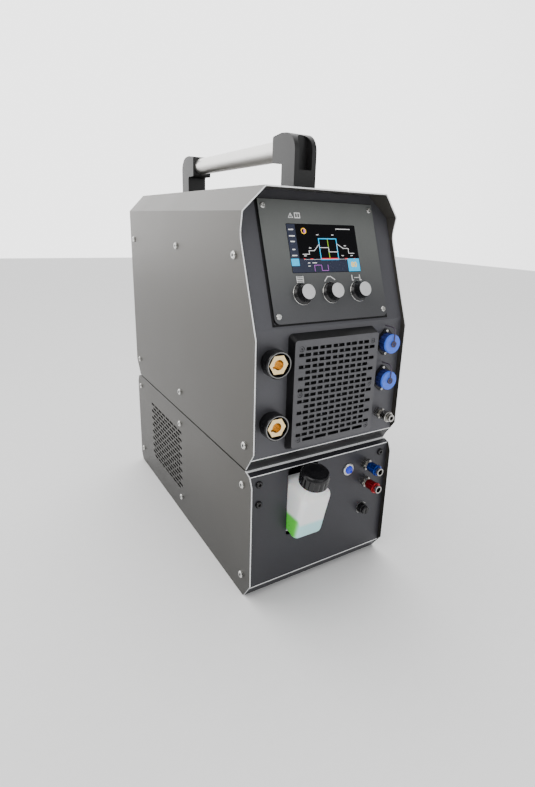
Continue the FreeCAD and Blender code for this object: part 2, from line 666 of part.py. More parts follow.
def build_connectors():
    core_r = CAP_R - 4.4
    shell = connector_flange().fuse(disc(core_r, -12, CAP_STAND - 5))
    shell = shell.cut(disc(core_r - 1.6, 1, CAP_STAND - 4))
    pins = [disc(1.0, 1, 8, 3.6 * math.cos(a), 3.6 * math.sin(a)) for a in (0.5, 2.1, 3.6, 5.2)]
    shell = fuse([shell.removeSplitter()] + pins)
    screw_places = (-CONNECTOR_SCREW, CONNECTOR_SCREW)
    shell = cut(shell, [disc(SMALL_SHANK_R + TOUCH, -1, 4, 0, y) for y in screw_places])
    cap = turned([(core_r + CLEAR, 2.6 + CLEAR), (CAP_R, 2.6 + CLEAR), (CAP_R, CAP_STAND - 1.5),
                  (CAP_R - 1.5, CAP_STAND), (CAP_BOSS_R, CAP_STAND), (CAP_BOSS_R, CAP_STAND + 2.2),
                  (0, CAP_STAND + 2.2),
                  (0, CAP_STAND - 5 + CLEAR), (core_r + CLEAR, CAP_STAND - 5 + CLEAR)])
    notches = []
    for i in range(CAP_TEETH):
        notch = disc(1.5, 0, 9, CAP_R + 0.6, 0)
        notch.rotate(V(0, 0, 0), V(0, 0, 1), i * 360 / CAP_TEETH)
        notches.append(notch)
    cap = cut(cap, notches)
    shells = []
    tethers = []
    for name, z in zip(("lower", "upper"), CONNECTOR_Z):
        shells.append(to_front(shell, CONNECTOR_X, z, UPPER_Y))
        save("connector_cap_" + name, to_front(cap, CONNECTOR_X, z, UPPER_Y))
        anchor = CONNECTOR_HALF_Z + TETHER_PASS
        over = CAP_STAND + CLEAR + 1.0
        eyelet = ring(4.4, CAP_BOSS_R + CLEAR, CAP_STAND + CLEAR, CAP_STAND + CLEAR + 1.4)
        link = pipe([(0, 3.9, over), (0, anchor - 4.0, over), (0, anchor - 0.8, over - 2.6),
                     (0, anchor, over - 6.0), (0, anchor, 0)], TETHER_R)
        tethers.append(to_front(fuse([eyelet, link]), CONNECTOR_X, z, UPPER_Y))
    save("connector_shells", *shells)
    save("cap_tethers", *tethers)


def coupler(stand, bore_r, base_r, hex_af):
    """Quick coupler: fixed body with a hexagon shoulder, and the sleeve that slides on its neck."""
    neck_r = base_r - 1.6
    sleeve_low = 8.5 + SLEEVE_TRAVEL + CLEAR
    sleeve_high = stand - 4.0
    body = turned([(0, -COUPLER_TAIL), (4.9, -COUPLER_TAIL), (4.9, 0), (base_r, 0), (base_r, 8.5),
                   (neck_r, 8.5), (neck_r, stand), (0, stand)])
    body = body.fuse(hexagon(hex_af, 3, 7.6)).cut(disc(bore_r, stand - COUPLER_BORE_DEEP, stand + 1))
    body = body.removeSplitter()
    inner = neck_r + RUN
    sleeve = turned([(inner, sleeve_low), (base_r - 0.6, sleeve_low), (base_r, sleeve_low + 0.8),
                     (base_r, sleeve_high - 5), (base_r + 0.9, sleeve_high - 4.2),
                     (base_r + 0.9, sleeve_high - 2.4), (base_r - 0.2, sleeve_high - 1.4),
                     (base_r - 0.2, sleeve_high), (inner, sleeve_high)])
    return body, sleeve


def build_gas_outlet():
    body, sleeve = coupler(GAS_STAND, GAS_BORE_R, 6.9, 13.5)
    save("gas_outlet_body", to_front(body, GAS_X, GAS_Z, UPPER_Y))
    save("gas_outlet_sleeve", to_front(sleeve, GAS_X, GAS_Z, UPPER_Y))


def build_couplers():
    bodies = []
    for name, z in COUPLER_Z.items():
        body, sleeve = coupler(COUPLER_STAND, COUPLER_BORE_R, 7.2, 14.5)
        bodies.append(to_front(body, COUPLER_X, z, LOWER_Y))
        save("coupler_sleeve_" + name, to_front(sleeve, COUPLER_X, z, LOWER_Y))
    save("coupler_bodies", *bodies)


# ---- handle ----------------------------------------------------------------------------------
def post_bolt_places():
    """Depths of the four bolts that hold the handle posts."""
    front_leg = FRONT + POST_FRONT + POST_LEG / 2
    rear_leg = FRONT + DEPTH - REAR_POST_INSET - POST_LEG / 2
    return [leg + side * BOLT_SPREAD for leg in (front_leg, rear_leg) for side in (-1, 1)]


def handle_post(front, sign):
    """Moulded post: a leg with a head that holds the tube; sign +1 looks forward, -1 back."""
    wall = POST_HALF - POCKET_HALF
    back = front + sign * POST_HEAD
    leg = front + sign * POST_LEG
    points = [(front, BODY_TOP), (leg, BODY_TOP), (leg, POST_HEAD_Z, 3), (back, POST_HEAD_Z, 3),
              (back, POST_TOP - 2.5, 3), (front + sign * 34, POST_TOP, 20), (front, POST_TOP - 3, 24)]
    if sign < 0:
        points = points[::-1]
    post = side_slab(points, -POST_HALF, POST_HALF)
    pocket_points = [(-POCKET_HALF, POCKET_LOW, 1), (POCKET_HALF, POCKET_LOW, 1),
                     (POCKET_HALF, POST_TOP - wall / 2, 9), (-POCKET_HALF, POST_TOP - wall / 2, 9)]
    y0, y1 = sorted((front - sign, front + sign * POCKET_DEEP))
    pocket = cross_slab(pocket_points, y0, y1)
    seat0, seat1 = sorted((back, back - sign * TUBE_INSERT))
    seat = Part.makeCylinder(TUBE_R, seat1 - seat0, V(0, seat0, TUBE_Z), V(0, 1, 0))
    return post.cut([pocket, seat]), back


def build_handle():
    front_post, front_end = handle_post(FRONT + POST_FRONT, 1)
    rear_post, rear_end = handle_post(REAR - REAR_POST_INSET, -1)
    places = post_bolt_places()
    drills = [disc(SCREW_SHANK_R, BODY_TOP - 1, BODY_TOP + 14, 0, y) for y in places]
    save("handle_front_post", cut(front_post, drills[:2]))
    save("handle_rear_post", cut(rear_post, drills[2:]))
    start = front_end - TUBE_INSERT
    length = rear_end + TUBE_INSERT - start
    outer = Part.makeCylinder(TUBE_R, length, V(0, start, TUBE_Z), V(0, 1, 0))
    inner = Part.makeCylinder(TUBE_R - TUBE_WALL, length + 2, V(0, start - 1, TUBE_Z), V(0, 1, 0))
    save("handle_tube", outer.cut(inner))
    bolt = turned([(0, 13), (SCREW_SHANK_R, 13), (SCREW_SHANK_R, -SHEET), (SCREW_HEAD_R, -SHEET),
                   (SCREW_HEAD_R, -SHEET - SCREW_HEAD_H), (0, -SHEET - SCREW_HEAD_H)])
    save("handle_bolts", *[shifted(bolt, 0, y, BODY_TOP) for y in places])


# ---- sheet metal of the water cooler ------------------------------------------------------------
def bottle_window():
    return to_front(slab([(BOTTLE_X - WINDOW_HALF, WINDOW_LOW, 4), (BOTTLE_X + WINDOW_HALF, WINDOW_LOW, 4),
                          (BOTTLE_X + WINDOW_HALF, WINDOW_HIGH, 4), (BOTTLE_X - WINDOW_HALF, WINDOW_HIGH, 4)],
                         -SHEET * 3, 2), 0, 0, LOWER_Y)


def build_lower_shell():
    shell = box(-HALF, HALF, FRONT, REAR, 0, LOWER_TOP)
    hollow = box(-HALF + SHEET, HALF - SHEET, FRONT - 1, REAR + 1, -1, LOWER_TOP - SHEET)
    cover = shell.cut(hollow).common(side_slab(lower_profile(), -HALF - 1, HALF + 1))
    vents = slot_rows(VENT_ROWS, VENT_ROW_PITCH, VENT_LOW + SLOT_HEIGHT / 2, VENT_SPREAD, -SHEET * 3, 2)
    cuts = []
    for vent in vents:
        vent.rotate(V(0, 0, 0), V(1, 0, 0), 90)
        vent.rotate(V(0, 0, 0), V(0, 0, 1), -90)
        vent.translate(V(-HALF, REAR - VENT_BACK, 0))
        cuts.append(vent)
    save("lower_cover", cut(cover, cuts + side_screw_holes(LOWER_SIDE_SCREWS)))

    inside_front = LOWER_Y + SHEET
    inside_rear = REAR_Y - SHEET
    base = LOWER_PANEL_BASE
    floor = strip([(inside_rear, base + FLANGE), (inside_rear, base), (REAR - LIP_BACK, 0),
                   (FRONT + FOOT_BACK, 0), (inside_front, base), (inside_front, base + FLANGE)],
                  -SHEET, INNER)
    flanges = [box(min(s * INNER, s * (INNER - SHEET)), max(s * INNER, s * (INNER - SHEET)),
                   FRONT + FOOT_BACK, REAR - LIP_BACK, 0, base + FLANGE * 2) for s in (-1, 1)]
    save("lower_tray", cut(fuse([floor] + flanges), side_screw_holes(LOWER_SIDE_SCREWS)))


def build_lower_front():
    top = LOWER_TOP - SHEET - TOUCH
    sheet = strip([(LOWER_Y + LOWER_LID, top - TOUCH * 2), (LOWER_Y, LOWER_PANEL_TOP),
                   (LOWER_Y, LOWER_PANEL_BASE)], SHEET, INNER)
    holes = [to_front(disc(5.0, -SHEET * 2, 1), COUPLER_X, z, LOWER_Y) for z in COUPLER_Z.values()]
    holes.append(to_front(disc(8.0, -SHEET * 2, 1), BUTTON_X, BUTTON_Z, LOWER_Y))
    holes.append(to_front(disc(6.6, -SHEET * 2, 1), FUSE_X, FUSE_Z, LOWER_Y))
    screw_hole = disc(SCREW_SHANK_R + TOUCH, -SHEET * 2, 1)
    holes += [to_front(screw_hole, x, z, LOWER_Y) for x, z in lower_screw_places()]
    save("lower_front_panel", cut(sheet, holes + [bottle_window()]))


def lower_screw_places():
    return [(x, z) for z in LOWER_SCREW_Z for x in (-LOWER_SCREW_X, LOWER_SCREW_X)]


def build_button():
    save("button_housing", to_front(turned([(6.4, -18), (7.9, -18), (7.9, 0), (BUTTON_R, 0), (BUTTON_R, 1.6),
                                            (BUTTON_R - 1.2, 2.4), (6.4, 2.4)]), BUTTON_X, BUTTON_Z, LOWER_Y))
    plunger_r = 6.4 - RUN * 2
    profile = [(0, -14)]
    profile += [(plunger_r, -14), (plunger_r, 3.0)]
    for step in range(1, 5):
        angle = math.radians(step * 22.5)
        profile.append((plunger_r * math.cos(angle), 3.0 + 2.2 * math.sin(angle)))
    profile[-1] = (0, 5.2)
    save("button_plunger", to_front(turned(profile), BUTTON_X, BUTTON_Z, LOWER_Y))


def build_fuse():
    rim = FUSE_BARREL_HIGH
    holder = turned([(0, -30), (6.5, -30), (6.5, 0), (FUSE_R, 0), (FUSE_R, 1.6), (FUSE_BARREL_R, 1.6),
                     (FUSE_BARREL_R, rim - 0.8), (FUSE_BARREL_R - 0.8, rim), (FUSE_BORE_R, rim),
                     (FUSE_BORE_R, -12), (0, -12)])
    cap = turned([(0, -11), (FUSE_BORE_R - RUN, -11), (FUSE_BORE_R - RUN, rim + CLEAR),
                  (FUSE_CAP_R, rim + CLEAR), (FUSE_CAP_R, FUSE_CAP_HIGH - 1), (FUSE_CAP_R - 1, FUSE_CAP_HIGH),
                  (0, FUSE_CAP_HIGH)])
    cap = cap.cut(box(-0.7, 0.7, -FUSE_CAP_R, FUSE_CAP_R, FUSE_CAP_HIGH - 1.2, FUSE_CAP_HIGH + 1))
    save("fuse_holder", to_front(holder, FUSE_X, FUSE_Z, LOWER_Y))
    save("fuse_cap", to_front(cap, FUSE_X, FUSE_Z, LOWER_Y))


# ---- coolant bottle ----------------------------------------------------------------------------
def to_bottle(shape):
    """Local frame of the bottle: front lower edge at the origin, leaning forward by the tilt."""
    placed = shape.copy()
    placed.rotate(V(0, 0, 0), V(1, 0, 0), BOTTLE_TILT)
    placed.translate(V(BOTTLE_X, FRONT - BOTTLE_FORWARD, BOTTLE_BASE_Z))
    return placed


def bottle_form(inset, neck_r, top):
    """Body, sloping shoulder and neck, all drawn inset by one wall."""
    half = BOTTLE_WIDTH / 2 - inset
    corner = BOTTLE_CORNER - inset
    front = inset
    back = BOTTLE_DEEP - inset
    shoulder = BOTTLE_LENGTH - inset * 0.4
    body_points = [(-half, front, corner), (half, front, corner), (half, back, corner), (-half, back, corner)]
    body = slab(body_points, inset, shoulder)
    low = outline(body_points)
    low.translate(V(0, 0, shoulder))
    reach = neck_r + 1.0
    high = outline([(-reach, NECK_Y - reach, neck_r), (reach, NECK_Y - reach, neck_r),
                    (reach, NECK_Y + reach, neck_r), (-reach, NECK_Y + reach, neck_r)])
    high.translate(V(0, 0, shoulder + SHOULDER_LENGTH))
    return fuse([body, Part.makeLoft([low, high], True, True),
                 disc(neck_r, shoulder + SHOULDER_LENGTH - 0.5, top, 0, NECK_Y)])


def build_bottle():
    neck_top = BOTTLE_LENGTH + SHOULDER_LENGTH + NECK_LENGTH
    inside = bottle_form(BOTTLE_WALL, NECK_R - BOTTLE_WALL, neck_top + 1)
    bottle = bottle_form(0, NECK_R, neck_top).cut(inside)
    barbs = [shifted(to_rear(disc(BARB_R, BOTTLE_DEEP - 0.5, BOTTLE_DEEP + BARB_LENGTH), 0, 0, 0), 0, 0, h)
             for h in BARB_HEIGHTS]
    save("coolant_bottle", to_bottle(fuse([bottle] + barbs)))
    below = box(-HALF, HALF, FRONT * 2, 0, 0, COOLANT_LEVEL_Z)
    save("coolant", to_bottle(inside).common(below))

    cheek = WINDOW_HALF
    cradle = box(-cheek - SHEET, cheek + SHEET, 0, BOTTLE_DEEP + SHEET, -SHEET, CRADLE_HEIGHT)
    cradle = cradle.cut(box(-cheek, cheek, -1, BOTTLE_DEEP, 0, CRADLE_HEIGHT + 1))
    barb_hole = disc(BARB_R + TOUCH, BOTTLE_DEEP - 2, BOTTLE_DEEP + 4)
    barb_holes = [to_rear(barb_hole, 0, h, 0) for h in BARB_HEIGHTS]
    outside = box(-HALF, HALF, FRONT * 2, LOWER_Y + SHEET, 0, BODY_TOP)
    save("bottle_cradle", to_bottle(cut(cradle, barb_holes)).cut(outside))

    seal_low = neck_top + CLEAR
    seal_high = seal_low + SEAL_THICK
    seal = disc(NECK_R - 0.5, seal_low, seal_high, 0, NECK_Y)
    save("bottle_cap_seal", to_bottle(seal))
    cap_top = seal_high + CLEAR + CAP_WALL
    cap_low = cap_top - CAP_LENGTH
    inner = NECK_R + CLEAR + 0.1
    cap = turned([(inner, cap_low), (CAP_RADIUS, cap_low), (CAP_RADIUS, cap_top - 2.5),
                  (CAP_RADIUS - 2.5, cap_top - 0.6), (0, cap_top), (0, seal_high + CLEAR),
                  (inner, seal_high + CLEAR)])
    ribs = []
    for i in range(CAP_RIBS):
        rib = disc(1.1, cap_low - 1, cap_top + 1, CAP_RADIUS + 0.5, 0)
        rib.rotate(V(0, 0, 0), V(0, 0, 1), i * 360 / CAP_RIBS)
        ribs.append(rib)
    save("bottle_cap", to_bottle(shifted(cut(cap, ribs), 0, NECK_Y)))


# ---- rear panels and what they carry ---------------------------------------------------------------
def fan_guard():
    """Rows of punched slots inside the fan's bore, in the plane of the panel."""
    rows = slot_rows(GUARD_ROWS, ROW_PITCH, -(GUARD_ROWS - 1) * ROW_PITCH / 2, FAN_BORE_R, -SHEET * 2, 1)
    return [row for row in rows if row.BoundBox.XMax < FAN_BORE_R and
            math.hypot(abs(row.BoundBox.Center.x) + SLOT_LENGTH / 2, row.BoundBox.Center.y) < FAN_BORE_R - 2]


def build_rear_panels():
    upper = upper_inside().common(box(-HALF, HALF, REAR_Y - SHEET, REAR_Y, 0, BODY_TOP))
    holes = [to_rear(slot, 0, MAIN_FAN_Z, REAR_Y) for slot in fan_guard()]
    switch_hole = slab(rectangle(SWITCH_HALF_X, -SWITCH_HALF_Z, SWITCH_HALF_Z), -SHEET * 2, 1)
    holes.append(to_rear(switch_hole, SWITCH_X, SWITCH_Z, REAR_Y))
    holes.append(to_rear(disc(GLAND_R - 3 + TOUCH, -SHEET * 2, 1), GLAND_X, GLAND_Z, REAR_Y))
    holes.append(to_rear(disc(BARB_R + 1 + TOUCH, -SHEET * 2, 1), GAS_INLET_X, GAS_INLET_Z, REAR_Y))
    save("upper_rear_panel", cut(upper, holes))
    lower = box(-INNER, INNER, REAR_Y - SHEET, REAR_Y, LOWER_PANEL_BASE, LOWER_TOP - SHEET - TOUCH)
    save("lower_rear_panel", cut(lower, [to_rear(slot, 0, COOLER_FAN_Z, REAR_Y) for slot in fan_guard()]))


def build_fan(frame_node, rotor_node, z, deep):
    """Axial fan screwed behind the guard: square frame with a pin, rotor turning on it."""
    back = -SHEET
    front = back - deep
    frame = slab([(-FAN_SIZE / 2, -FAN_SIZE / 2, 6), (FAN_SIZE / 2, -FAN_SIZE / 2, 6),
                  (FAN_SIZE / 2, FAN_SIZE / 2, 6), (-FAN_SIZE / 2, FAN_SIZE / 2, 6)], front, back)
    frame = frame.cut(disc(FAN_BORE_R, front - 1, back + 1))
    struts = [disc(FAN_HUB_R, front, front + 4), disc(FAN_PIN_R, front + 4, back - 5)]
    for turn in (45, 135):
        strut = box(-FAN_BORE_R - 1, FAN_BORE_R + 1, -3, 3, front, front + 4)
        strut.rotate(V(0, 0, 0), V(0, 0, 1), turn)
        struts.append(strut)
    save(frame_node, to_rear(fuse([frame] + struts), 0, z, REAR_Y))
    low = front + 4 + CLEAR * 3
    high = back - 3
    rotor = [disc(FAN_HUB_R, low, high)]
    rise = (high - low) * 0.42
    for i in range(FAN_BLADES):
        blade = box(FAN_HUB_R - 2, FAN_BORE_R - 2, -1, 1, -rise * 1.1, rise * 1.1)
        blade.rotate(V(0, 0, 0), V(1, 0, 0), 40)
        blade.translate(V(0, 0, (low + high) / 2))
        blade.rotate(V(0, 0, 0), V(0, 0, 1), i * 360 / FAN_BLADES)
        rotor.append(blade)
    rotor = fuse(rotor).cut(disc(FAN_PIN_R + RUN, low - 1, back - 5 + CLEAR))
    save(rotor_node, to_rear(rotor, 0, z, REAR_Y))


def build_switch():
    frame_x = SWITCH_HALF_X + 3
    frame_z = SWITCH_HALF_Z + 3
    body_z = SWITCH_HALF_Z - TOUCH
    body = slab(rectangle(SWITCH_HALF_X - TOUCH, -body_z, body_z), -SWITCH_DEEP, 1)
    rim = slab(rectangle(frame_x, -frame_z, frame_z, 2), 0, 2)
    well_x = SWITCH_HALF_X - 2.5
    well_z = SWITCH_HALF_Z - 2.0
    well = slab(rectangle(well_x, -well_z, well_z), -SWITCH_DEEP / 2, 3)
    pivot = -ROCKER_DROP
    axle = Part.makeCylinder(ROCKER_PIN_R, well_x * 2 + 1, V(-well_x - 0.5, 0, pivot), V(1, 0, 0))
    save("switch_housing", to_rear(fuse([body.fuse(rim).cut(well), axle]), SWITCH_X, SWITCH_Z, REAR_Y))
    half = well_z - ROCKER_GAP
    swing = half * math.tan(math.radians(ROCKER_SWING / 2))
    crest = ROCKER_DROP + 1.6
    outline = [(-half * 0.93, crest - swing * 0.6), (0, ROCKER_DROP), (half * 0.93, crest + swing * 1.1),
               (half * 0.86, -3), (3.2, -4.5), (-3.2, -4.5), (-half * 0.86, -3)]
    rocker = side_slab(outline, -well_x + CLEAR, well_x - CLEAR)
    hole = Part.makeCylinder(ROCKER_PIN_R + RUN, WIDTH, V(-HALF, 0, 0), V(1, 0, 0))
    rocker = shifted(rocker.cut(hole), 0, 0, pivot)
    save("switch_rocker", to_rear(rocker, SWITCH_X, SWITCH_Z, REAR_Y))


def build_gland():
    stud = GLAND_R - 3
    gland = turned([(GLAND_BORE_R, -12), (stud, -12), (stud, 0), (GLAND_R, 0), (GLAND_R, 7),
                    (GLAND_R - 1.5, 8), (GLAND_R - 1.5, 17), (GLAND_R - 4, 20), (GLAND_BORE_R, 20)])
    nut = hexagon(GLAND_R * 2, -SHEET - 5, -SHEET).cut(disc(stud, -12, 0))
    save("cable_gland", to_rear(gland, GLAND_X, GLAND_Z, REAR_Y), to_rear(nut, GLAND_X, GLAND_Z, REAR_Y))


def build_gas_valve():
    body = box(-15, 15, -14, 14, -SHEET - 40, -SHEET)
    coil = Part.makeCylinder(11, 26, V(0, -14, -SHEET - 20), V(0, -1, 0))
    barb = turned([(0, -SHEET), (BARB_R + 1, -SHEET), (BARB_R + 1, 0), (8, 0), (8, 5), (BARB_R, 5),
                   (BARB_R, 19), (0, 19)])
    save("gas_valve", to_rear(fuse([body, coil, barb]), GAS_INLET_X, GAS_INLET_Z, REAR_Y))


# ---- inside the power source -------------------------------------------------------------------------
def build_power_parts():
    sinks = []
    for side in (-1, 1):
        x0, x1 = sorted((side * SINK_GAP, side * (SINK_GAP + SINK_WIDTH)))
        block = box(x0, x1, SINK_FRONT, SINK_BACK, UPPER_FLOOR, UPPER_FLOOR + SINK_HEIGHT)
        root0, root1 = sorted((side * (SINK_GAP + 9), side * (SINK_GAP + SINK_WIDTH + 1)))
        fins = int(SINK_HEIGHT // SINK_PITCH) - 1
        grooves = [box(root0, root1, SINK_FRONT - 1, SINK_BACK + 1, z, z + SINK_PITCH - 3)
                   for z in [UPPER_FLOOR + 5 + i * SINK_PITCH for i in range(fins)]]
        sinks.append(block.cut(grooves))
    save("heatsinks", *sinks)
    deck = UPPER_FLOOR + SINK_HEIGHT
    save("power_board", box(-BOARD_HALF, BOARD_HALF, SINK_FRONT - 8, SINK_BACK, deck, deck + 2.4))
    cans = [disc(CAN_R, deck + 2.4, deck + 2.4 + CAN_HEIGHT, x, y)
            for x in (-BOARD_HALF * 0.7, -BOARD_HALF * 0.23, BOARD_HALF * 0.23, BOARD_HALF * 0.7)
            for y in (SINK_FRONT + 25,)]
    save("capacitors", *cans)
    core = box(-100, -34, -90, -20, UPPER_FLOOR, UPPER_FLOOR + 78)
    core = core.cut([box(-101, -33, -78, -60, UPPER_FLOOR + 12, UPPER_FLOOR + 66),
                     box(-101, -33, -50, -32, UPPER_FLOOR + 12, UPPER_FLOOR + 66)])
    coil = box(-108, -26, -77, -33, UPPER_FLOOR + 14, UPPER_FLOOR + 64)
    coil = coil.cut(box(-100, -34, -60, -50, UPPER_FLOOR + 13, UPPER_FLOOR + 65))
    save("main_transformer", core, coil)
    choke = turned([(CHOKE_BORE, 0), (CHOKE_R - 4, 0), (CHOKE_R, 5), (CHOKE_R, CHOKE_HEIGHT - 5),
                    (CHOKE_R - 4, CHOKE_HEIGHT), (CHOKE_BORE, CHOKE_HEIGHT)])
    save("output_choke", shifted(choke, CHOKE_X, CHOKE_Y, UPPER_FLOOR))


# ---- inside the water cooler --------------------------------------------------------------------------
def build_cooler_parts():
    head = box(PUMP_X - 25, PUMP_X + 25, PUMP_Y, PUMP_Y + 30, SHEET, 70)
    motor = Part.makeCylinder(26, 80, V(PUMP_X, PUMP_Y + 30, 44), V(0, 1, 0))
    foot = box(PUMP_X - 20, PUMP_X + 20, PUMP_Y + 30, PUMP_Y + 105, SHEET, 26)
    inlet = Part.makeCylinder(HOSE_R, 10, V(PUMP_X - 25, PUMP_Y + 15, PUMP_PORT_Z), V(-1, 0, 0))
    outlet = Part.makeCylinder(HOSE_R, 10, V(PUMP_X, PUMP_Y + 15, 70), V(0, 0, 1))
    save("pump", fuse([head, motor, foot, inlet, outlet]))
    back = REAR_Y - SHEET - COOLER_FAN_DEEP
    front = back - RADIATOR_DEEP
    core = box(-RADIATOR_HALF, RADIATOR_HALF, front, back, SHEET, RADIATOR_TOP)
    gaps = []
    for i in range(RADIATOR_ROWS):
        low = RADIATOR_LOW + i * RADIATOR_PITCH
        fin_half = RADIATOR_HALF - 12
        gaps.append(box(-fin_half, fin_half, front - 1, back + 1, low, low + RADIATOR_PITCH - 4))
    ports = [Part.makeCylinder(HOSE_R, RADIATOR_PORT, V(x, front, RADIATOR_PORT_Z), V(0, -1, 0))
             for x in (-RADIATOR_PORT_X, RADIATOR_PORT_X)]
    save("radiator", fuse([core.cut(gaps)] + ports))
    port_y = front - RADIATOR_PORT
    tilt = math.radians(BOTTLE_TILT)
    barb_ends = []
    for h in BARB_HEIGHTS:
        along = BOTTLE_DEEP + BARB_LENGTH
        barb_ends.append((BOTTLE_X, FRONT - BOTTLE_FORWARD + along * math.cos(tilt) - h * math.sin(tilt),
                          BOTTLE_BASE_Z + along * math.sin(tilt) + h * math.cos(tilt)))
    tail = LOWER_Y + COUPLER_TAIL
    port_tip = (PUMP_X - 35, PUMP_Y + 15, PUMP_PORT_Z)
    feed = barb_ends[0]
    home = barb_ends[1]
    supply = (COUPLER_X, tail, COUPLER_Z["supply"])
    back_in = (COUPLER_X, tail, COUPLER_Z["return"])
    hoses = [
        pipe([feed, (BOTTLE_X, feed[1] + 20, feed[2] + 5), (BOTTLE_X + 10, PUMP_Y + 5, 80),
              (port_tip[0] - 12, port_tip[1], PUMP_PORT_Z), port_tip], HOSE_R),
        pipe([(PUMP_X, PUMP_Y + 15, 80), (PUMP_X, PUMP_Y + 15, 105),
              (RADIATOR_PORT_X, port_y - 30, RADIATOR_PORT_Z), (RADIATOR_PORT_X, port_y, RADIATOR_PORT_Z)],
             HOSE_R),
        pipe([(-RADIATOR_PORT_X, port_y, RADIATOR_PORT_Z), (-RADIATOR_PORT_X, port_y - 30, RADIATOR_PORT_Z),
              (-20, 0, HOSE_HIGH), (COUPLER_X, PUMP_Y, HOSE_HIGH), (COUPLER_X, tail + 20, supply[2]), supply],
             HOSE_R),
        pipe([back_in, (COUPLER_X, tail + 16, back_in[2]), (10, PUMP_Y - 35, 150),
              (BOTTLE_X + 12, home[1] + 22, home[2] + 4), (BOTTLE_X, home[1] + 16, home[2] + 4), home],
             HOSE_R),
    ]
    valve_face = REAR_Y - SHEET - 40
    gas_tail = (GAS_X, UPPER_Y + COUPLER_TAIL, GAS_Z)
    drop_y = SINK_FRONT - 2
    hoses.append(pipe([(GAS_INLET_X, valve_face, GAS_INLET_Z), (GAS_INLET_X, valve_face - 6, GAS_INLET_Z),
                       (GAS_INLET_X, valve_face - 25, GAS_HOSE_HIGH), (GAS_X, drop_y, GAS_HOSE_HIGH),
                       (GAS_X, drop_y - 60, 300), (GAS_X, gas_tail[1] + 30, GAS_Z), gas_tail], GAS_HOSE_R))
    save("inner_hoses", *hoses)


# ---- screws --------------------------------------------------------------------------------------------
def build_screws():
    side_screws = []
    for rows in (UPPER_SIDE_SCREWS, LOWER_SIDE_SCREWS):
        for z, places in rows.items():
            for back in places:
                for side in (-1, 1):
                    side_screws.append(to_side(pan_screw(), side, FRONT + back, z))
    save("cover_screws", *side_screws)
    plate_screw = pan_screw(SMALL_HEAD_R, SMALL_SHANK_R, SHEET + 3, PLATE_THICK, SMALL_HEAD_H)
    small = [to_slope(shifted(plate_screw, x, s)) for x, s in plate_screw_places()]
    grille_screw = pan_screw(SMALL_HEAD_R - TOUCH, SMALL_SHANK_R, 0, GRILLE_STAND - 2, SMALL_HEAD_H)
    small += [to_front(grille_screw, x, z, UPPER_Y) for x, z in grille_screw_places()]
    flange_screw = pan_screw(2.0, SMALL_SHANK_R, 0, 2.6, 1.2)
    for z in CONNECTOR_Z:
        for offset in (-CONNECTOR_SCREW, CONNECTOR_SCREW):
            small.append(to_front(flange_screw, CONNECTOR_X, z + offset, UPPER_Y))
    small += [to_front(pan_screw(), x, z, LOWER_Y) for x, z in lower_screw_places()]
    save("panel_screws", *small)


def main():
    os.makedirs("parts", exist_ok=True)
    build_upper_shell()
    build_upper_front()
    build_control_plate()
    build_knobs()
    build_grille()
    build_sockets()
    build_connectors()
    build_gas_outlet()
    build_handle()
    build_lower_shell()
    build_lower_front()
    build_couplers()
    build_button()
    build_fuse()
    build_bottle()
    build_rear_panels()
    build_fan("main_fan_frame", "main_fan_rotor", MAIN_FAN_Z, FAN_DEEP)
    build_fan("cooler_fan_frame", "cooler_fan_rotor", COOLER_FAN_Z, COOLER_FAN_DEEP)
    build_switch()
    build_gland()
    build_gas_valve()
    build_power_parts()
    build_cooler_parts()
    build_screws()


main()
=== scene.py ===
import math

import bmesh
import bpy
from mathutils import Matrix, Vector


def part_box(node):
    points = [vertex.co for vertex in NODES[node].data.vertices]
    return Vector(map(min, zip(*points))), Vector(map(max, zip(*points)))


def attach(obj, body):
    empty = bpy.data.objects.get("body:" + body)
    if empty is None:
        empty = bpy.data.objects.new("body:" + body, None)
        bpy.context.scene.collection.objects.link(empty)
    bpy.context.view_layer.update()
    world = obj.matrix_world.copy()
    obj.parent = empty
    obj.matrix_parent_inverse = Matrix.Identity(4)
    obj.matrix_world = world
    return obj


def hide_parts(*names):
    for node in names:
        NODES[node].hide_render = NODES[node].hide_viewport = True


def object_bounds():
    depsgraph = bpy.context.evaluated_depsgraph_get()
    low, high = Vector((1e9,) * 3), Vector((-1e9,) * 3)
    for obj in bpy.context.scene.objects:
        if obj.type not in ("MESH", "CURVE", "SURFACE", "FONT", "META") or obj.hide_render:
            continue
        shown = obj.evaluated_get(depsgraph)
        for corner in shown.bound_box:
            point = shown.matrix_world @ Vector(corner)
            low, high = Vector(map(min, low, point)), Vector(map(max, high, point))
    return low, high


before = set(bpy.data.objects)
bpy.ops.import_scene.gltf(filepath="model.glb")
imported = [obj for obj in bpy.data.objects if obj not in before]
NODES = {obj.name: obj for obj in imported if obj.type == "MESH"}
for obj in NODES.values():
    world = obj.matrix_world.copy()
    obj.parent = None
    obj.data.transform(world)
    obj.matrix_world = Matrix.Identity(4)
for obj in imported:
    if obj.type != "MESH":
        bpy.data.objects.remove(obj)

CAD_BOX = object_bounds()
MM = 0.001
FLOOR_Z = CAD_BOX[0][2]
EDGE_ANGLE = math.radians(35)           # folds sharper than this read as edges


def corner_pair(node):
    low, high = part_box(node)
    return Vector(low), Vector(high)


COVER_LOW, COVER_HIGH = corner_pair("upper_cover")
FRONT = COVER_LOW.y                     # the cover's front edge
TILT = math.radians(20)                 # slope of the control panel
GLASS_LOW, GLASS_HIGH = corner_pair("display_glass")
COOLANT_LEVEL = corner_pair("coolant")[1].z


# ---- materials ---------------------------------------------------------------------
def new_material(name):
    material = bpy.data.materials.new(name)
    material.use_nodes = True
    return material, material.node_tree.nodes, material.node_tree.links


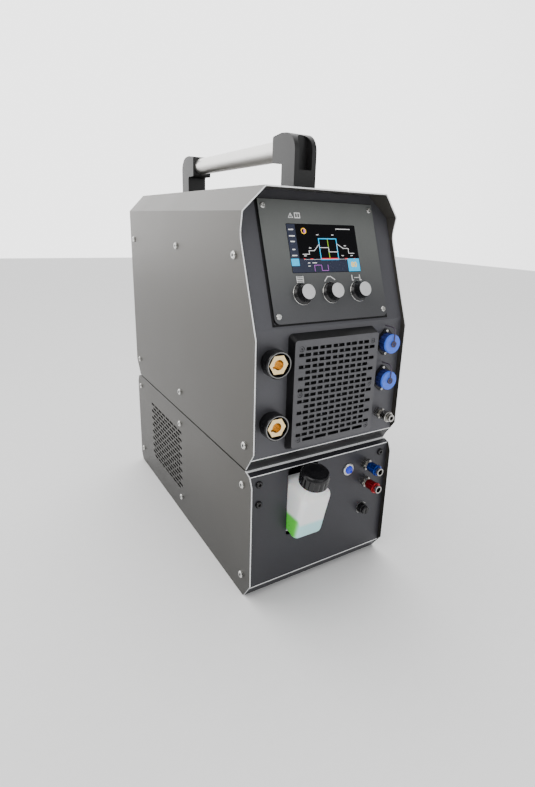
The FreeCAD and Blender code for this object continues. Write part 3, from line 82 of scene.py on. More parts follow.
def surface(name, colour, roughness=0.5, metallic=0.0, grain=900.0, spread=0.08, bump=0.02,
            stretch=(1, 1, 1), coat=0.0, specular=0.5, shade_gradient=None, rough_spread=0.12, emission=0.0):
    """Procedural finish: fine grain in colour, roughness and relief, and broad unevenness.

    The optional shade gradient (axis, from, to, colour) is painted shade: the paint darkens towards a
    second tone along one object axis.
    """
    material, nodes, links = new_material(name)
    shader = nodes["Principled BSDF"]
    shader.inputs["Metallic"].default_value = metallic
    shader.inputs["Coat Weight"].default_value = coat
    shader.inputs["Coat Roughness"].default_value = 0.12
    shader.inputs["Specular IOR Level"].default_value = specular
    place = nodes.new("ShaderNodeTexCoord")
    scale = nodes.new("ShaderNodeMapping")
    scale.inputs["Scale"].default_value = stretch
    links.new(place.outputs["Object"], scale.inputs["Vector"])
    fine = nodes.new("ShaderNodeTexNoise")
    fine.inputs["Scale"].default_value = grain
    fine.inputs["Detail"].default_value = 3.0
    links.new(scale.outputs["Vector"], fine.inputs["Vector"])
    broad = nodes.new("ShaderNodeTexNoise")
    broad.inputs["Scale"].default_value = 9.0
    broad.inputs["Detail"].default_value = 2.0
    links.new(place.outputs["Object"], broad.inputs["Vector"])
    both = nodes.new("ShaderNodeMix")
    both.inputs["Factor"].default_value = 0.35
    links.new(fine.outputs["Fac"], both.inputs["A"])
    links.new(broad.outputs["Fac"], both.inputs["B"])
    ramp = nodes.new("ShaderNodeValToRGB")
    ramp.color_ramp.elements[0].position = 0.3
    ramp.color_ramp.elements[1].position = 0.7
    ramp.color_ramp.elements[0].color = tuple(c * (1 - spread) for c in colour) + (1,)
    ramp.color_ramp.elements[1].color = tuple(min(1.0, c * (1 + spread)) for c in colour) + (1,)
    links.new(both.outputs["Result"], ramp.inputs["Fac"])
    paint = ramp.outputs["Color"]
    # painted shade: the paint is multiplied towards the darker tone along one object axis
    if shade_gradient:
        axis, start, end, shade_tone = shade_gradient
        split = nodes.new("ShaderNodeSeparateXYZ")
        links.new(place.outputs["Object"], split.inputs["Vector"])
        along = nodes.new("ShaderNodeMapRange")
        along.interpolation_type = "SMOOTHSTEP"
        along.inputs["From Min"].default_value = start
        along.inputs["From Max"].default_value = end
        links.new(split.outputs[axis], along.inputs["Value"])
        blend = nodes.new("ShaderNodeMix")
        blend.data_type = "RGBA"
        blend.blend_type = "MULTIPLY"
        ratio = tuple(t / max(c, 1e-4) for t, c in zip(shade_tone, colour))
        blend.inputs[7].default_value = ratio + (1,)
        links.new(along.outputs["Result"], blend.inputs[0])
        links.new(paint, blend.inputs[6])
        paint = blend.outputs[2]
    links.new(paint, shader.inputs["Base Color"])
    rough = nodes.new("ShaderNodeMapRange")
    rough.inputs["To Min"].default_value = max(0.02, roughness - rough_spread)
    rough.inputs["To Max"].default_value = min(1.0, roughness + rough_spread)
    links.new(both.outputs["Result"], rough.inputs["Value"])
    links.new(rough.outputs["Result"], shader.inputs["Roughness"])
    relief = nodes.new("ShaderNodeBump")
    relief.inputs["Strength"].default_value = bump * 10
    relief.inputs["Distance"].default_value = 0.0001
    links.new(fine.outputs["Fac"], relief.inputs["Height"])
    links.new(relief.outputs["Normal"], shader.inputs["Normal"])
    if emission:
        links.new(paint, shader.inputs["Emission Color"])
        shader.inputs["Emission Strength"].default_value = emission
    return material


MILK = (0.86, 0.88, 0.88)
TINT_FRONT = (0.46, 0.80, 0.82, 1)      # coolant seen through front-facing walls: the paler, lit copy of the tint
SIDE_FACING_TINT = (0.10, 0.62, 0.06, 1)       # and through side-facing walls: a deeper green chosen by face direction, painted light
SIDE_RISE = 10 * MM                     # the tint stands higher on the side wall


def bottle_plastic():
    """Milky blow-moulded polyethylene; the coolant inside tints it below the level. The tint is paler on
    front-facing walls and deeper green on side-facing ones, chosen by face direction: painted light. The
    whole bottle also glows faintly: a painted glow.
    """
    material = surface("milky_polyethylene_glow", MILK, 0.3, grain=260, spread=0.03, bump=0.05)
    nodes = material.node_tree.nodes
    links = material.node_tree.links
    shader = nodes["Principled BSDF"]
    shader.inputs["Subsurface Weight"].default_value = 0.3
    shader.inputs["Subsurface Scale"].default_value = 0.004
    plain = shader.inputs["Base Color"].links[0].from_socket
    geometry = nodes.new("ShaderNodeNewGeometry")
    spot = nodes.new("ShaderNodeSeparateXYZ")
    facing = nodes.new("ShaderNodeSeparateXYZ")
    links.new(geometry.outputs["Position"], spot.inputs["Vector"])
    links.new(geometry.outputs["Normal"], facing.inputs["Vector"])
    # painted light: faces looking along -X take the side tint, faces looking forward take the front tint
    side = nodes.new("ShaderNodeMapRange")
    side.interpolation_type = "SMOOTHSTEP"
    side.inputs["From Min"].default_value = -0.35
    side.inputs["From Max"].default_value = -0.95
    links.new(facing.outputs["X"], side.inputs["Value"])
    tint = nodes.new("ShaderNodeMix")
    tint.data_type = "RGBA"
    tint.inputs[6].default_value = TINT_FRONT
    tint.inputs[7].default_value = SIDE_FACING_TINT
    links.new(side.outputs["Result"], tint.inputs[0])
    level = nodes.new("ShaderNodeMapRange")
    level.interpolation_type = "SMOOTHSTEP"
    level.inputs["From Min"].default_value = COOLANT_LEVEL + 2 * MM
    level.inputs["From Max"].default_value = COOLANT_LEVEL - 6 * MM
    height = nodes.new("ShaderNodeMath")
    height.operation = "MULTIPLY_ADD"
    height.inputs[1].default_value = -SIDE_RISE
    links.new(side.outputs["Result"], height.inputs[0])
    links.new(spot.outputs["Z"], height.inputs[2])
    links.new(height.outputs["Value"], level.inputs["Value"])
    paint = nodes.new("ShaderNodeMix")
    paint.data_type = "RGBA"
    links.new(level.outputs["Result"], paint.inputs[0])
    links.new(plain, paint.inputs[6])
    links.new(tint.outputs[2], paint.inputs[7])
    links.new(paint.outputs[2], shader.inputs["Base Color"])
    # painted glow: the bottle's colour is also emitted, so the plastic glows though it is no lamp
    links.new(paint.outputs[2], shader.inputs["Emission Color"])
    shader.inputs["Emission Strength"].default_value = 0.16
    return material


GREY = (0.082, 0.077, 0.068)
ALONG_Y = (14, 0.5, 14)                 # stretch of marks drawn along Y
MATERIALS = {
    # painted shade: the upper cover darkens towards its foot along Z, and the lower cover darkens on
    # towards the floor
    "cover": surface("cover_grey_enamel", GREY, 0.38, 0.3, 1500, 0.14, 0.045,
                     shade_gradient=("Z", 0.50, 0.16, (0.040, 0.037, 0.031))),
    "lower_cover": surface("cooler_grey_enamel", (0.046, 0.043, 0.037), 0.42, 0.25, 1500, 0.14, 0.045,
                           shade_gradient=("Z", 0.18, -0.01, (0.017, 0.016, 0.013))),
    # painted highlight: near-white bare metal that also glows, for the light the sheet edges catch
    "bare_edge": surface("sheet_edge_highlight_paint", (0.86, 0.87, 0.88), 0.28, 0.25, 700, 0.05, 0.03,
                         emission=0.25),
    "panel": surface("panel_dark_enamel", (0.078, 0.078, 0.088), 0.42, 0.2, 1600, 0.14, 0.05),
    "lower_panel": surface("cooler_panel_enamel", (0.034, 0.034, 0.041), 0.42, 0.2, 1600, 0.14, 0.05),
    # painted light and painted shadow: the control plate is painted lighter than the panel for the light it
    # catches facing up, and it darkens to the panel's tone at its top, where the hood shades it
    "plate": surface("control_plate_lit_and_shaded", (0.145, 0.153, 0.147), 0.38, 0.25, 1400, 0.12, 0.05,
                     shade_gradient=("Z", 0.50, 0.39, (0.076, 0.077, 0.082))),
    # painted shade: the upper tray's lip between the front panels is made near black for the shade it sits
    # in
    "tray_shade_black": surface("tray_painted_shade", (0.012, 0.012, 0.013), 0.4, 0.2, 1600, 0.2, 0.05),
    "black": surface("black_moulded_plastic", (0.007, 0.007, 0.008), 0.42, 0.0, 700, 0.25, 0.06,
                     specular=0.35),
    "black_gloss": surface("black_gloss_plastic", (0.006, 0.006, 0.007), 0.2, 0.0, 500, 0.2, 0.02,
                           specular=0.45),
    "post": surface("handle_black_plastic", (0.013, 0.013, 0.013), 0.42, 0.0, 1100, 0.3, 0.10),
    "grille": surface("grille_dark_plastic", (0.082, 0.082, 0.09), 0.5, 0.0, 1200, 0.2, 0.08),
    "grey_cap": surface("knob_cap_grey", (0.62, 0.62, 0.63), 0.38, 0.0, 600, 0.05, 0.03),
    "silver": surface("zinc_plated_steel", (0.62, 0.62, 0.6), 0.27, 1.0, 800, 0.1, 0.05),
    "nickel": surface("dark_nickel", (0.42, 0.41, 0.39), 0.26, 1.0, 600, 0.12, 0.04),
    "aluminium": surface("brushed_aluminium_tube", (0.72, 0.71, 0.69), 0.32, 1.0, 400, 0.12, 0.10,
                         stretch=ALONG_Y),
    "sink": surface("extruded_aluminium", (0.6, 0.6, 0.6), 0.4, 1.0, 500, 0.1, 0.06,
                    stretch=(6, 0.4, 6)),
    "brass": surface("machined_brass", (0.95, 0.70, 0.36), 0.24, 1.0, 700, 0.1, 0.05),
    "blue_cap": surface("blue_moulded_cap", (0.07, 0.19, 0.95), 0.42, 0.0, 700, 0.07, 0.05),
    "navy_skirt": surface("navy_cap_skirt", (0.02, 0.03, 0.16), 0.4, 0.0, 700, 0.15, 0.05),
    "tether": surface("mauve_tether", (0.07, 0.055, 0.08), 0.5, 0.0, 600, 0.15, 0.06),
    "blue_anodised": surface("blue_anodised_sleeve", (0.006, 0.035, 0.26), 0.24, 0.75, 500, 0.15, 0.03,
                             stretch=(1, 9, 1)),
    "red_anodised": surface("red_anodised_sleeve", (0.34, 0.008, 0.014), 0.24, 0.75, 500, 0.15, 0.03,
                            stretch=(1, 9, 1)),
    "blue_light": surface("blue_lit_lens", (0.003, 0.03, 0.62), 0.2, 0.0, 400, 0.1, 0.01, emission=0.12),
    "screen": surface("screen_black_glass", (0.002, 0.002, 0.003), 0.12, 0.0, 400, 0.2, 0.0,
                      specular=0.15, rough_spread=0.03),
    "circuit": surface("green_circuit_board", (0.02, 0.16, 0.06), 0.4, 0.0, 300, 0.25, 0.1),
    "can": surface("capacitor_sleeve", (0.03, 0.05, 0.14), 0.3, 0.0, 500, 0.1, 0.03),
    "copper": surface("enamelled_copper", (0.6, 0.24, 0.1), 0.3, 0.8, 240, 0.3, 0.25, stretch=(1, 1, 6)),
    "steel": surface("galvanised_steel", (0.5, 0.51, 0.52), 0.38, 0.9, 60, 0.2, 0.05),
    "rubber": surface("black_rubber", (0.02, 0.02, 0.02), 0.7, 0.0, 500, 0.2, 0.08),
    "red_rocker": surface("red_rocker", (0.55, 0.015, 0.012), 0.25, 0.0, 500, 0.1, 0.02, coat=0.3),
    "pump": surface("pump_black_enamel", (0.03, 0.03, 0.035), 0.4, 0.3, 500, 0.2, 0.08),
    "coolant": surface("green_coolant", (0.10, 0.50, 0.10), 0.15, 0.0, 60, 0.08, 0.01),
    # painted shade: near-black fill for the dark pieces that stand in for shade behind the grille, behind
    # the vent and round the plate
    "foam": surface("painted_shade_fill", (0.008, 0.008, 0.009), 0.9, 0.0, 1500, 0.5, 0.3),
    "bottle": bottle_plastic(),
    "ui_navy": surface("ui_navy", (0.012, 0.016, 0.035), 0.25, grain=300, bump=0.0, emission=0.6),
    "ui_white": surface("ui_white", (0.8, 0.8, 0.8), 0.3, grain=300, bump=0.0, emission=0.5),
    "ui_cyan": surface("ui_cyan", (0.0, 0.42, 0.75), 0.3, grain=300, bump=0.0, emission=0.8),
    "ui_green": surface("ui_green", (0.25, 0.45, 0.02), 0.3, grain=300, bump=0.0, emission=0.6),
    "ui_red": surface("ui_red", (0.85, 0.02, 0.03), 0.3, grain=300, bump=0.0, emission=0.8),
    "ui_orange": surface("ui_orange", (0.9, 0.55, 0.03), 0.3, grain=300, bump=0.0, emission=0.8),
    "ui_purple": surface("ui_purple", (0.45, 0.12, 0.55), 0.3, grain=300, bump=0.0, emission=0.6),
    # painted glow: the white print on the plate also emits light, though it is no lamp
    "ui_print": surface("white_print", (0.93, 0.93, 0.93), 0.5, grain=500, bump=0.02, emission=0.1),
    # painted highlight: grey ring for the light edge on the sockets' black lips
    "rim": surface("socket_lip_painted_highlight", (0.22, 0.22, 0.22), 0.3, grain=500, bump=0.02),
    "floor": surface("pale_floor", (0.93, 0.93, 0.93), 0.75, grain=60, spread=0.01, bump=0.005),
}

FINISH_OF = {
    "cover": ("upper_cover",),
    "lower_cover": ("lower_cover",),
    "tray_shade_black": ("upper_tray",),
    "panel": ("upper_front_panel", "upper_rear_panel"),
    "lower_panel": ("lower_tray", "lower_front_panel", "lower_rear_panel"),
    "plate": ("control_plate",),
    "grille": ("front_grille",),
    "screen": ("display_glass",),
    "black": ("display_module", "connector_shells", "main_fan_frame", "main_fan_rotor", "cooler_fan_frame",
              "cooler_fan_rotor", "switch_housing", "cable_gland", "bottle_cap"),
    "black_gloss": ("knob_left", "knob_centre", "knob_right", "socket_collars", "fuse_holder", "fuse_cap"),
    "post": ("handle_front_post", "handle_rear_post"),
    "aluminium": ("handle_tube",),
    "silver": ("handle_bolts", "button_housing", "cover_screws", "panel_screws"),
    "steel": ("encoder_bodies", "main_transformer", "bottle_cradle"),
    "brass": ("socket_contacts", "socket_nuts", "gas_valve"),
    "nickel": ("gas_outlet_body", "gas_outlet_sleeve", "coupler_bodies"),
    "blue_cap": ("connector_cap_upper", "connector_cap_lower"),
    "tether": ("cap_tethers",),
    "blue_light": ("button_plunger",),
    "blue_anodised": ("coupler_sleeve_supply",),
    "red_anodised": ("coupler_sleeve_return",),
    "red_rocker": ("switch_rocker",),
    "circuit": ("control_board", "power_board"),
    "can": ("capacitors",),
    "copper": ("output_choke",),
    "sink": ("heatsinks", "radiator"),
    "pump": ("pump",),
    "bottle": ("coolant_bottle",),
    "coolant": ("coolant",),
    "rubber": ("bottle_cap_seal", "inner_hoses"),
}


def finish_node(node, finish):
    mesh = NODES[node].data
    mesh.materials.clear()
    mesh.materials.append(MATERIALS[finish])


def paint_faces(node, finish, test):
    """Give the faces that pass the test (centre, normal) another finish."""
    mesh = NODES[node].data
    mesh.materials.append(MATERIALS[finish])
    index = len(mesh.materials) - 1
    for polygon in mesh.polygons:
        if test(polygon.center, polygon.normal):
            polygon.material_index = index


def soften(node, width, segments=2):
    """Small rounded edges, as a press, mould or lathe leaves them."""
    bevel = NODES[node].modifiers.new("rounded_edges", "BEVEL")
    bevel.width = width
    bevel.segments = segments
    bevel.limit_method = "ANGLE"
    bevel.angle_limit = EDGE_ANGLE
    bevel.use_clamp_overlap = True
    bevel.harden_normals = False


FORWARD = -0.12                         # a face whose normal's Y is below this looks forward
UPPER_EDGE_DEEP = 46 * MM               # how far back the covers' slanted front edges reach
LOWER_EDGE_DEEP = 30 * MM
RECESS = 2.6 * MM                       # depth of a cover screw's socket


def finish_frame():
    for finish, nodes in FINISH_OF.items():
        for node in nodes:
            finish_node(node, finish)
    for node, deep in (("upper_cover", UPPER_EDGE_DEEP), ("lower_cover", LOWER_EDGE_DEEP)):
        # painted highlight: the covers' forward-looking front edge faces get the glowing near-white edge
        # finish
        paint_faces(node, "bare_edge", lambda c, n: n.y < FORWARD and c.y < FRONT + deep)
    # painted shade: the grille's slot walls and other faces not looking forward are made black for the
    # shade inside the slots
    paint_faces("front_grille", "black", lambda c, n: n.y > -0.9)
    # painted shade: the control plate's side faces are made black for the shade in the gap round the plate
    slope = Vector((0, -math.cos(TILT), math.sin(TILT)))
    paint_faces("control_plate", "black", lambda c, n: n.dot(slope) < 0.7)
    grille_low, grille_high = corner_pair("front_grille")
    cooler_top = corner_pair("lower_front_panel")[1].z
    paint_faces("panel_screws", "grille",
                lambda c, n: abs(c.x) < grille_high.x and grille_low.z < c.z < grille_high.z)
    paint_faces("panel_screws", "black_gloss", lambda c, n: c.z < cooler_top)
    # painted shade: faces down in the cover screws' sockets are made black for the shade in the recess
    recess = COVER_HIGH.x + RECESS
    paint_faces("cover_screws", "black",
                lambda c, n: abs(n.x) > 0.9 and COVER_HIGH.x < abs(c.x) < recess)


# ---- mesh helpers --------------------------------------------------------------------
def add_piece(name, builder, finish, body="root", place=None, replaces=(), smooth=True, bevel=0.0):
    """Turn a bmesh into a named piece that rides on a CAD body."""
    mesh = bpy.data.meshes.new(name)
    builder.normal_update()
    builder.to_mesh(mesh)
    builder.free()
    if place is not None:
        mesh.transform(place)
    for key in (finish if isinstance(finish, tuple) else (finish,)):
        mesh.materials.append(MATERIALS[key])
    piece = bpy.data.objects.new(name, mesh)
    bpy.context.scene.collection.objects.link(piece)
    if smooth:
        mesh.shade_smooth()
        mesh.set_sharp_from_angle(angle=EDGE_ANGLE)
    if bevel:
        edge = piece.modifiers.new("rounded_edges", "BEVEL")
        edge.width = bevel
        edge.segments = 2
        edge.limit_method = "ANGLE"
        edge.angle_limit = EDGE_ANGLE
    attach(piece, body)
    if replaces:
        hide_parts(*replaces)
    return piece


def lathe(builder, profile, segments=64, wave=None, material=0):
    """Turn (radius, height) points round Z; wave(angle, radius, height) may change the radius."""
    rings = []
    for radius, height in profile:
        ring = []
        for i in range(segments):
            angle = 2 * math.pi * i / segments
            r = wave(angle, radius, height) if wave else radius
            ring.append(builder.verts.new((r * math.cos(angle), r * math.sin(angle), height)))
        rings.append(ring)
    for low, high in zip(rings, rings[1:]):
        for i in range(segments):
            j = (i + 1) % segments
            face = builder.faces.new((low[i], low[j], high[j], high[i]))
            face.material_index = material
    return rings


def close_ring(builder, ring, flip=False, material=0):
    face = builder.faces.new(ring[::-1] if flip else ring)
    face.material_index = material


def block(builder, low, high, material=0):
    """Box between two corners, in its own faces."""
    made = bmesh.ops.create_cube(builder, size=1.0)
    size = Vector(high) - Vector(low)
    middle = (Vector(high) + Vector(low)) / 2
    for vertex in made["verts"]:
        vertex.co = Vector((vertex.co.x * size.x, vertex.co.y * size.y, vertex.co.z * size.z)) + middle
    for face in {f for v in made["verts"] for f in v.link_faces}:
        face.material_index = material


def stroke(builder, points, width, height=0.00008, closed=False, material=0):
    """Flat printed line through (x, y) points, lying just above z = 0."""
    path = [Vector((x, y, 0)) for x, y in points]
    if closed:
        path.append(path[0])
    for start, end in zip(path, path[1:]):
        along = (end - start).normalized()
        side = Vector((-along.y, along.x, 0)) * width / 2
        reach = along * width / 2
        lift = Vector((0, 0, height))
        corners = [start - reach - side, end + reach - side, end + reach + side, start - reach + side]
        top = [builder.verts.new(c + lift) for c in corners]
        low = [builder.verts.new(c) for c in corners]
        faces = [builder.faces.new(top)]
        for i in range(4):
            j = (i + 1) % 4
            faces.append(builder.faces.new((low[i], low[j], top[j], top[i])))
        for face in faces:
            face.material_index = material


def patch(builder, x0, x1, y0, y1, height=0.00006, material=0):
    """Flat printed rectangle."""
    block(builder, (x0, y0, 0), (x1, y1, height), material)


def in_mm(points, up=0.0):
    """Points of a drawing in millimetres, moved up by so many millimetres."""
    return [(x * MM, y * MM + up * MM) for x, y in points]


# ---- places ----------------------------------------------------------------------------
SLOPE_UP = Vector((0, math.sin(TILT), math.cos(TILT)))
SLOPE_OUT = Vector((0, -math.cos(TILT), math.sin(TILT)))
GLASS_CENTRE = (GLASS_LOW + GLASS_HIGH) / 2
GLASS_HALF_X = (GLASS_HIGH.x - GLASS_LOW.x) / 2
GLASS_THICK = 0.0016
GLASS_HALF_S = ((GLASS_HIGH.z - GLASS_LOW.z) - GLASS_THICK * math.sin(TILT)) / math.cos(TILT) / 2


def on_slope(x, s, out=0.0):
    """Frame on the face of the control plate, (x, s) from the centre of the display."""
    origin = GLASS_CENTRE + Vector((x, 0, 0)) + SLOPE_UP * s + SLOPE_OUT * (GLASS_THICK / 2 + out)
    axes = Matrix((Vector((1, 0, 0)), SLOPE_UP, SLOPE_OUT)).transposed().to_4x4()
    return Matrix.Translation(origin) @ axes


def facing_front(x, y, z):
    """Local Z points out of the front, local Y up."""
    return Matrix.Translation((x, y, z)) @ Matrix.Rotation(math.radians(90), 4, "X")


def centre(node):
    low, high = corner_pair(node)
    return (low + high) / 2


# ---- control plate ------------------------------------------------------------------------
INKS = ("screen", "ui_navy", "ui_white", "ui_cyan", "ui_green", "ui_red", "ui_orange", "ui_purple")
NAVY, WHITE, CYAN, GREEN, RED, ORANGE, PURPLE = range(1, len(INKS))
PRINT_OUT = 0.01 * MM                   # prints stand this far out of the plate and the glass
PICTURE_OUT = 0.13 * MM                 # height of the screen's marks


def build_display():
    """Screen picture: side bar, weld-cycle curve, selected stage and value box."""
    hx = GLASS_HALF_X
    hs = GLASS_HALF_S
    lift = PICTURE_OUT
    builder = bmesh.new()

    def draw(points, width, ink, up=0.0, out=lift, closed=False):
        stroke(builder, in_mm(points, up), width * MM, out, closed, ink)

    edge = 0.6 * MM
    side_bar = 13 * MM
    strip = 18 * MM
    patch(builder, -hx + edge, -hx + side_bar, -hs + edge, hs - edge, material=NAVY)
    patch(builder, -hx + side_bar, hx - edge, -hs + edge, -hs + strip, material=NAVY)
    patch(builder, -hx + edge, -hx + side_bar - 1 * MM, -hs + strip / 2, -hs + strip, lift, CYAN)
    patch(builder, hx - 20 * MM, hx - edge, -hs + edge, -hs + strip - 0.5 * MM, lift, CYAN)
    curve = [(-35, -10), (-25, -10), (-25, -5.5), (-17, -5.5), (-8, 3), (-8, -1.5), (6, -1.5), (6, -7),
             (20, -7), (20, 3.5), (30, -2.5), (38, -2.5), (38, -9), (47, -9)]
    draw(curve, 0.7, WHITE, up=2.5)
    draw([(-8, -16.5), (20, -16.5), (20, 10.5), (-8, 10.5)], 1.2, CYAN, up=2, closed=True)
    draw([(6, -13), (6, 11.5)], 1.0, GREEN, out=lift * 0.9)
    draw([(-7, -13.3), (19, -13.3)], 1.4, RED, out=lift * 1.2)
    for x0, x1 in ((-34, -33), (-24, -21), (31, 35), (46, 47)):
        draw([(x0, -13.4), (x1, -13.4)], 0.8, RED)
    draw([(-34, -14.2), (47, -14.2)], 0.25, WHITE, out=lift * 0.8)
    draw([(-20, -29), (-20, -21.5), (-9, -21.5), (-9, -28.5), (1, -28.5), (1, -21.5)], 0.6, PURPLE)
    side_words = ((23.5, -50.5, -45), (15.5, -51, -44), (8.5, -50, -45), (-1.5, -49, -46),
                  (-9, -50.5, -44.5))
    for row, x0, x1 in side_words:
        draw([(x0, row), (x1, row)], 1.3, WHITE)
    words = ((22, 47, 25.5), (-29, -24, -18.5), (-22, -15, -18.5), (-29, -24, -22.5), (-10, -6, 17.5),
             (14, 18, 17.5), (-24, -20, 0.5), (32, 36, 3.5), (-33, -28, -9.5), (26, 30, -9.5),
             (41, 45, -9.5))
    letter_step = 1.7
    letter = 0.8
    for x0, x1, y in words:
        for i in range(int((x1 - x0) / letter_step)):
            left = x0 + i * letter_step
            draw([(left, y), (left + letter, y)], 0.9, WHITE)
    circle_x = -29
    circle_r = 3.4
    turns = [math.radians(30 * i) for i in range(12)]
    circle = [(circle_x + circle_r * math.cos(a), circle_r * math.sin(a)) for a in turns]
    draw(circle, 0.9, ORANGE, up=22, closed=True)
    patch(builder, circle_x * MM, -26.5 * MM, 19.8 * MM, 24.2 * MM, lift * 0.9, PURPLE)
    add_piece("screen_picture", builder, INKS, place=on_slope(0, 0, PRINT_OUT), smooth=False)
    number("screen_value", "80", 9.5 * MM, on_slope(hx - 10.3 * MM, -hs + 6.5 * MM, lift), "ui_orange")


def number(name, text, size, place, finish):
    """A plain number in the screen's value box."""
    curve = bpy.data.curves.new(name, "FONT")
    curve.body = text
    curve.size = size
    curve.align_x = "CENTER"
    curve.extrude = 0.05 * MM
    curve.offset = 0.2 * MM
    curve.materials.append(MATERIALS[finish])
    piece = bpy.data.objects.new(name, curve)
    piece.matrix_world = place
    bpy.context.scene.collection.objects.link(piece)
    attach(piece, "root")


ICON_ROW = -39                          # rows of print, in mm from the display's centre
MARK_ROW = 41.5


def build_plate_marks():
    """Printed symbols: parameter list, weld cycle, current range, caution triangle and book."""
    builder = bmesh.new()

    def draw(points, row, weight=1.0, closed=False):
        stroke(builder, in_mm(points, row), 0.7 * MM * weight, closed=closed)

    for line in range(4):
        y = (line - 1.5) * 2.1
        draw([(-49, y), (-40.5, y)], ICON_ROW, 1.2)
    for x in (-49.6, -40):
        draw([(x, -4), (x, 4)], ICON_ROW)
    draw([(-7.5, -3), (-2.5, 2.5), (2.5, 2.5), (8.5, -1.5)], ICON_ROW, 1.6)
    for x in (37.5, 50.5):
        draw([(x, 3.2), (x, -3.2), (x + 2, -3.2)], ICON_ROW, 1.7)
    for x in (42.3, 45.0, 47.7):
        draw([(x - 0.6, 0), (x + 0.6, 0)], ICON_ROW, 1.4)
    draw([(-48.5, -3), (-42, -3), (-45.2, 2.6)], MARK_ROW, closed=True)
    draw([(-45.2, -1.4), (-45.2, 0.6)], MARK_ROW, 0.8)
    draw([(-39, -3), (-31.5, -3), (-31.5, 3), (-39, 3)], MARK_ROW, 1.6, closed=True)
    draw([(-35.2, -3), (-35.2, 3)], MARK_ROW)
    add_piece("plate_symbols", builder, "ui_print", place=on_slope(0, 0, PRINT_OUT), smooth=False)


def build_gap_shade_strip():
    """Black strip sunk into the gap round the control plate, showing as a dark line: painted shade standing
    in for the shade in the gap.
    """
    low, high = corner_pair("control_plate")
    half_x = (high.x - low.x) / 2 + 0.7 * MM
    half_s = (high.z - low.z) / 2 / math.cos(TILT)
    thick = 1.6 * MM
    sunk = 2.6 * MM                     # below the middle of the plate
    builder = bmesh.new()
    loop = [(-half_x, -half_s), (half_x, -half_s), (half_x, half_s), (-half_x, half_s)]
    stroke(builder, loop, 2.4 * MM, thick, closed=True)
    slope = Matrix.Translation(centre("control_plate")) @ Matrix.Rotation(math.radians(90) - TILT, 4, "X")
    place = slope @ Matrix.Translation((0, 0, -sunk))
    add_piece("plate_gap_shade", builder, "foam", place=place, smooth=False)


KNOB_ROW = -57.2 * MM                   # along the slope from the display's centre
KNOB_FLUTES = 24
FLUTE_DEPTH = 0.35 * MM


def build_knob(node, x):
    """Fluted black knob with a pale flat cap and a bright collar at its foot."""
    foot = 0.3 * MM
    top = 15.0 * MM
    builder = bmesh.new()

    def flutes(angle, radius, height):
        depth = FLUTE_DEPTH if foot + 4 * MM < height < top - 2 * MM else 0.0
        return radius - depth * (0.5 + 0.5 * math.cos(angle * KNOB_FLUTES))

    body = [(6.4, 0.3), (13.4, 0.3), (13.6, 0.7), (13.5, 1.4), (12.9, 2.2), (11.4, 3.4), (10.6, 4.4),
            (10.45, 5.2), (10.4, 8.0), (10.3, 11.0), (10.2, 12.8), (10.15, 14.0), (9.95, 14.5), (9.6, 14.6),
            (9.3, 14.45)]
    lathe(builder, in_mm(body), 96, flutes, 0)
    cap = [(9.3, 14.4), (9.3, 14.9), (9.1, 15.0), (6.0, 15.0), (2.0, 15.0)]
    rings = lathe(builder, in_mm(cap), 96, None, 1)
    close_ring(builder, rings[-1], False, 1)
    collar = [(13.7, 0.32), (13.9, 0.5), (13.85, 1.0), (13.5, 1.35)]
    lathe(builder, in_mm(collar), 96, None, 2)
    shaft = [(3.0, -6.0), (3.0, 1.0), (6.4, 1.2)]
    low = lathe(builder, in_mm(shaft), 48, None, 3)
    close_ring(builder, low[0], True, 3)
    add_piece(node + "_turned", builder, ("black_gloss", "grey_cap", "silver", "steel"), node,
              on_slope(x, KNOB_ROW), (node,))


def build_knobs():
    for node in ("knob_left", "knob_centre", "knob_right"):
        build_knob(node, centre(node).x)


# ---- coolant bottle ---------------------------------------------------------------------------
LEAN = math.radians(15)                 # the bottle leans out at the top
BOTTLE_X = centre("coolant_bottle").x
BOTTLE_LOW, BOTTLE_HIGH = corner_pair("coolant_bottle")
BOTTLE_HALF = (BOTTLE_HIGH.x - BOTTLE_LOW.x) / 2
BOTTLE_DEEP = 62 * MM
BOTTLE_CORNER = 8.0 * MM
BACK_DROP = 12 * MM                     # the shoulder falls by this much towards the back
NECK_Y = 18 * MM
NECK_TOP = 101 * MM
NECK_R = 14 * MM
COLLAR_R = NECK_R + 0.8 * MM
CAP_FOOT = 85.4 * MM                    # the cap's lower edge, up the neck
CAP_TOP = 105.4 * MM
CAP_FLUTES = 16


def bottle_frame():
    """Front lower edge of the bottle, its own Z up along the leaning side."""
    reach = (NECK_Y - NECK_R) * math.cos(LEAN) - NECK_TOP * math.sin(LEAN)
    place = Matrix.Translation((BOTTLE_X, BOTTLE_LOW.y - reach, BOTTLE_LOW.z))
    return place @ Matrix.Rotation(LEAN, 4, "X")


def rounded_loop(builder, half_x, front, back, radius, height, corner_steps=8, side_steps=6):
    """Level loop of vertices: a rectangle with rounded corners."""
    loop = []
    corners = [(half_x - radius, back - radius, 0), (-half_x + radius, back - radius, 90),
               (-half_x + radius, front + radius, 180), (half_x - radius, front + radius, 270)]
    points = []
    for x, y, start in corners:
        for step in range(corner_steps + 1):
            angle = math.radians(start + 90 * step / corner_steps)
            points.append((x + radius * math.cos(angle), y + radius * math.sin(angle)))
    for i, (x, y) in enumerate(points):
        nx, ny = points[(i + 1) % len(points)]
        loop.append(builder.verts.new((x, y, height)))
        if i % (corner_steps + 1) == corner_steps:
            for step in range(1, side_steps):
                share = step / side_steps
                loop.append(builder.verts.new((x + (nx - x) * share, y + (ny - y) * share, height)))
    return loop


def skin(builder, loops, material=0):
    for low, high in zip(loops, loops[1:]):
        count = len(low)
        for i in range(count):
            j = (i + 1) % count
            face = builder.faces.new((low[i], low[j], high[j], high[i]))
            face.material_index = material


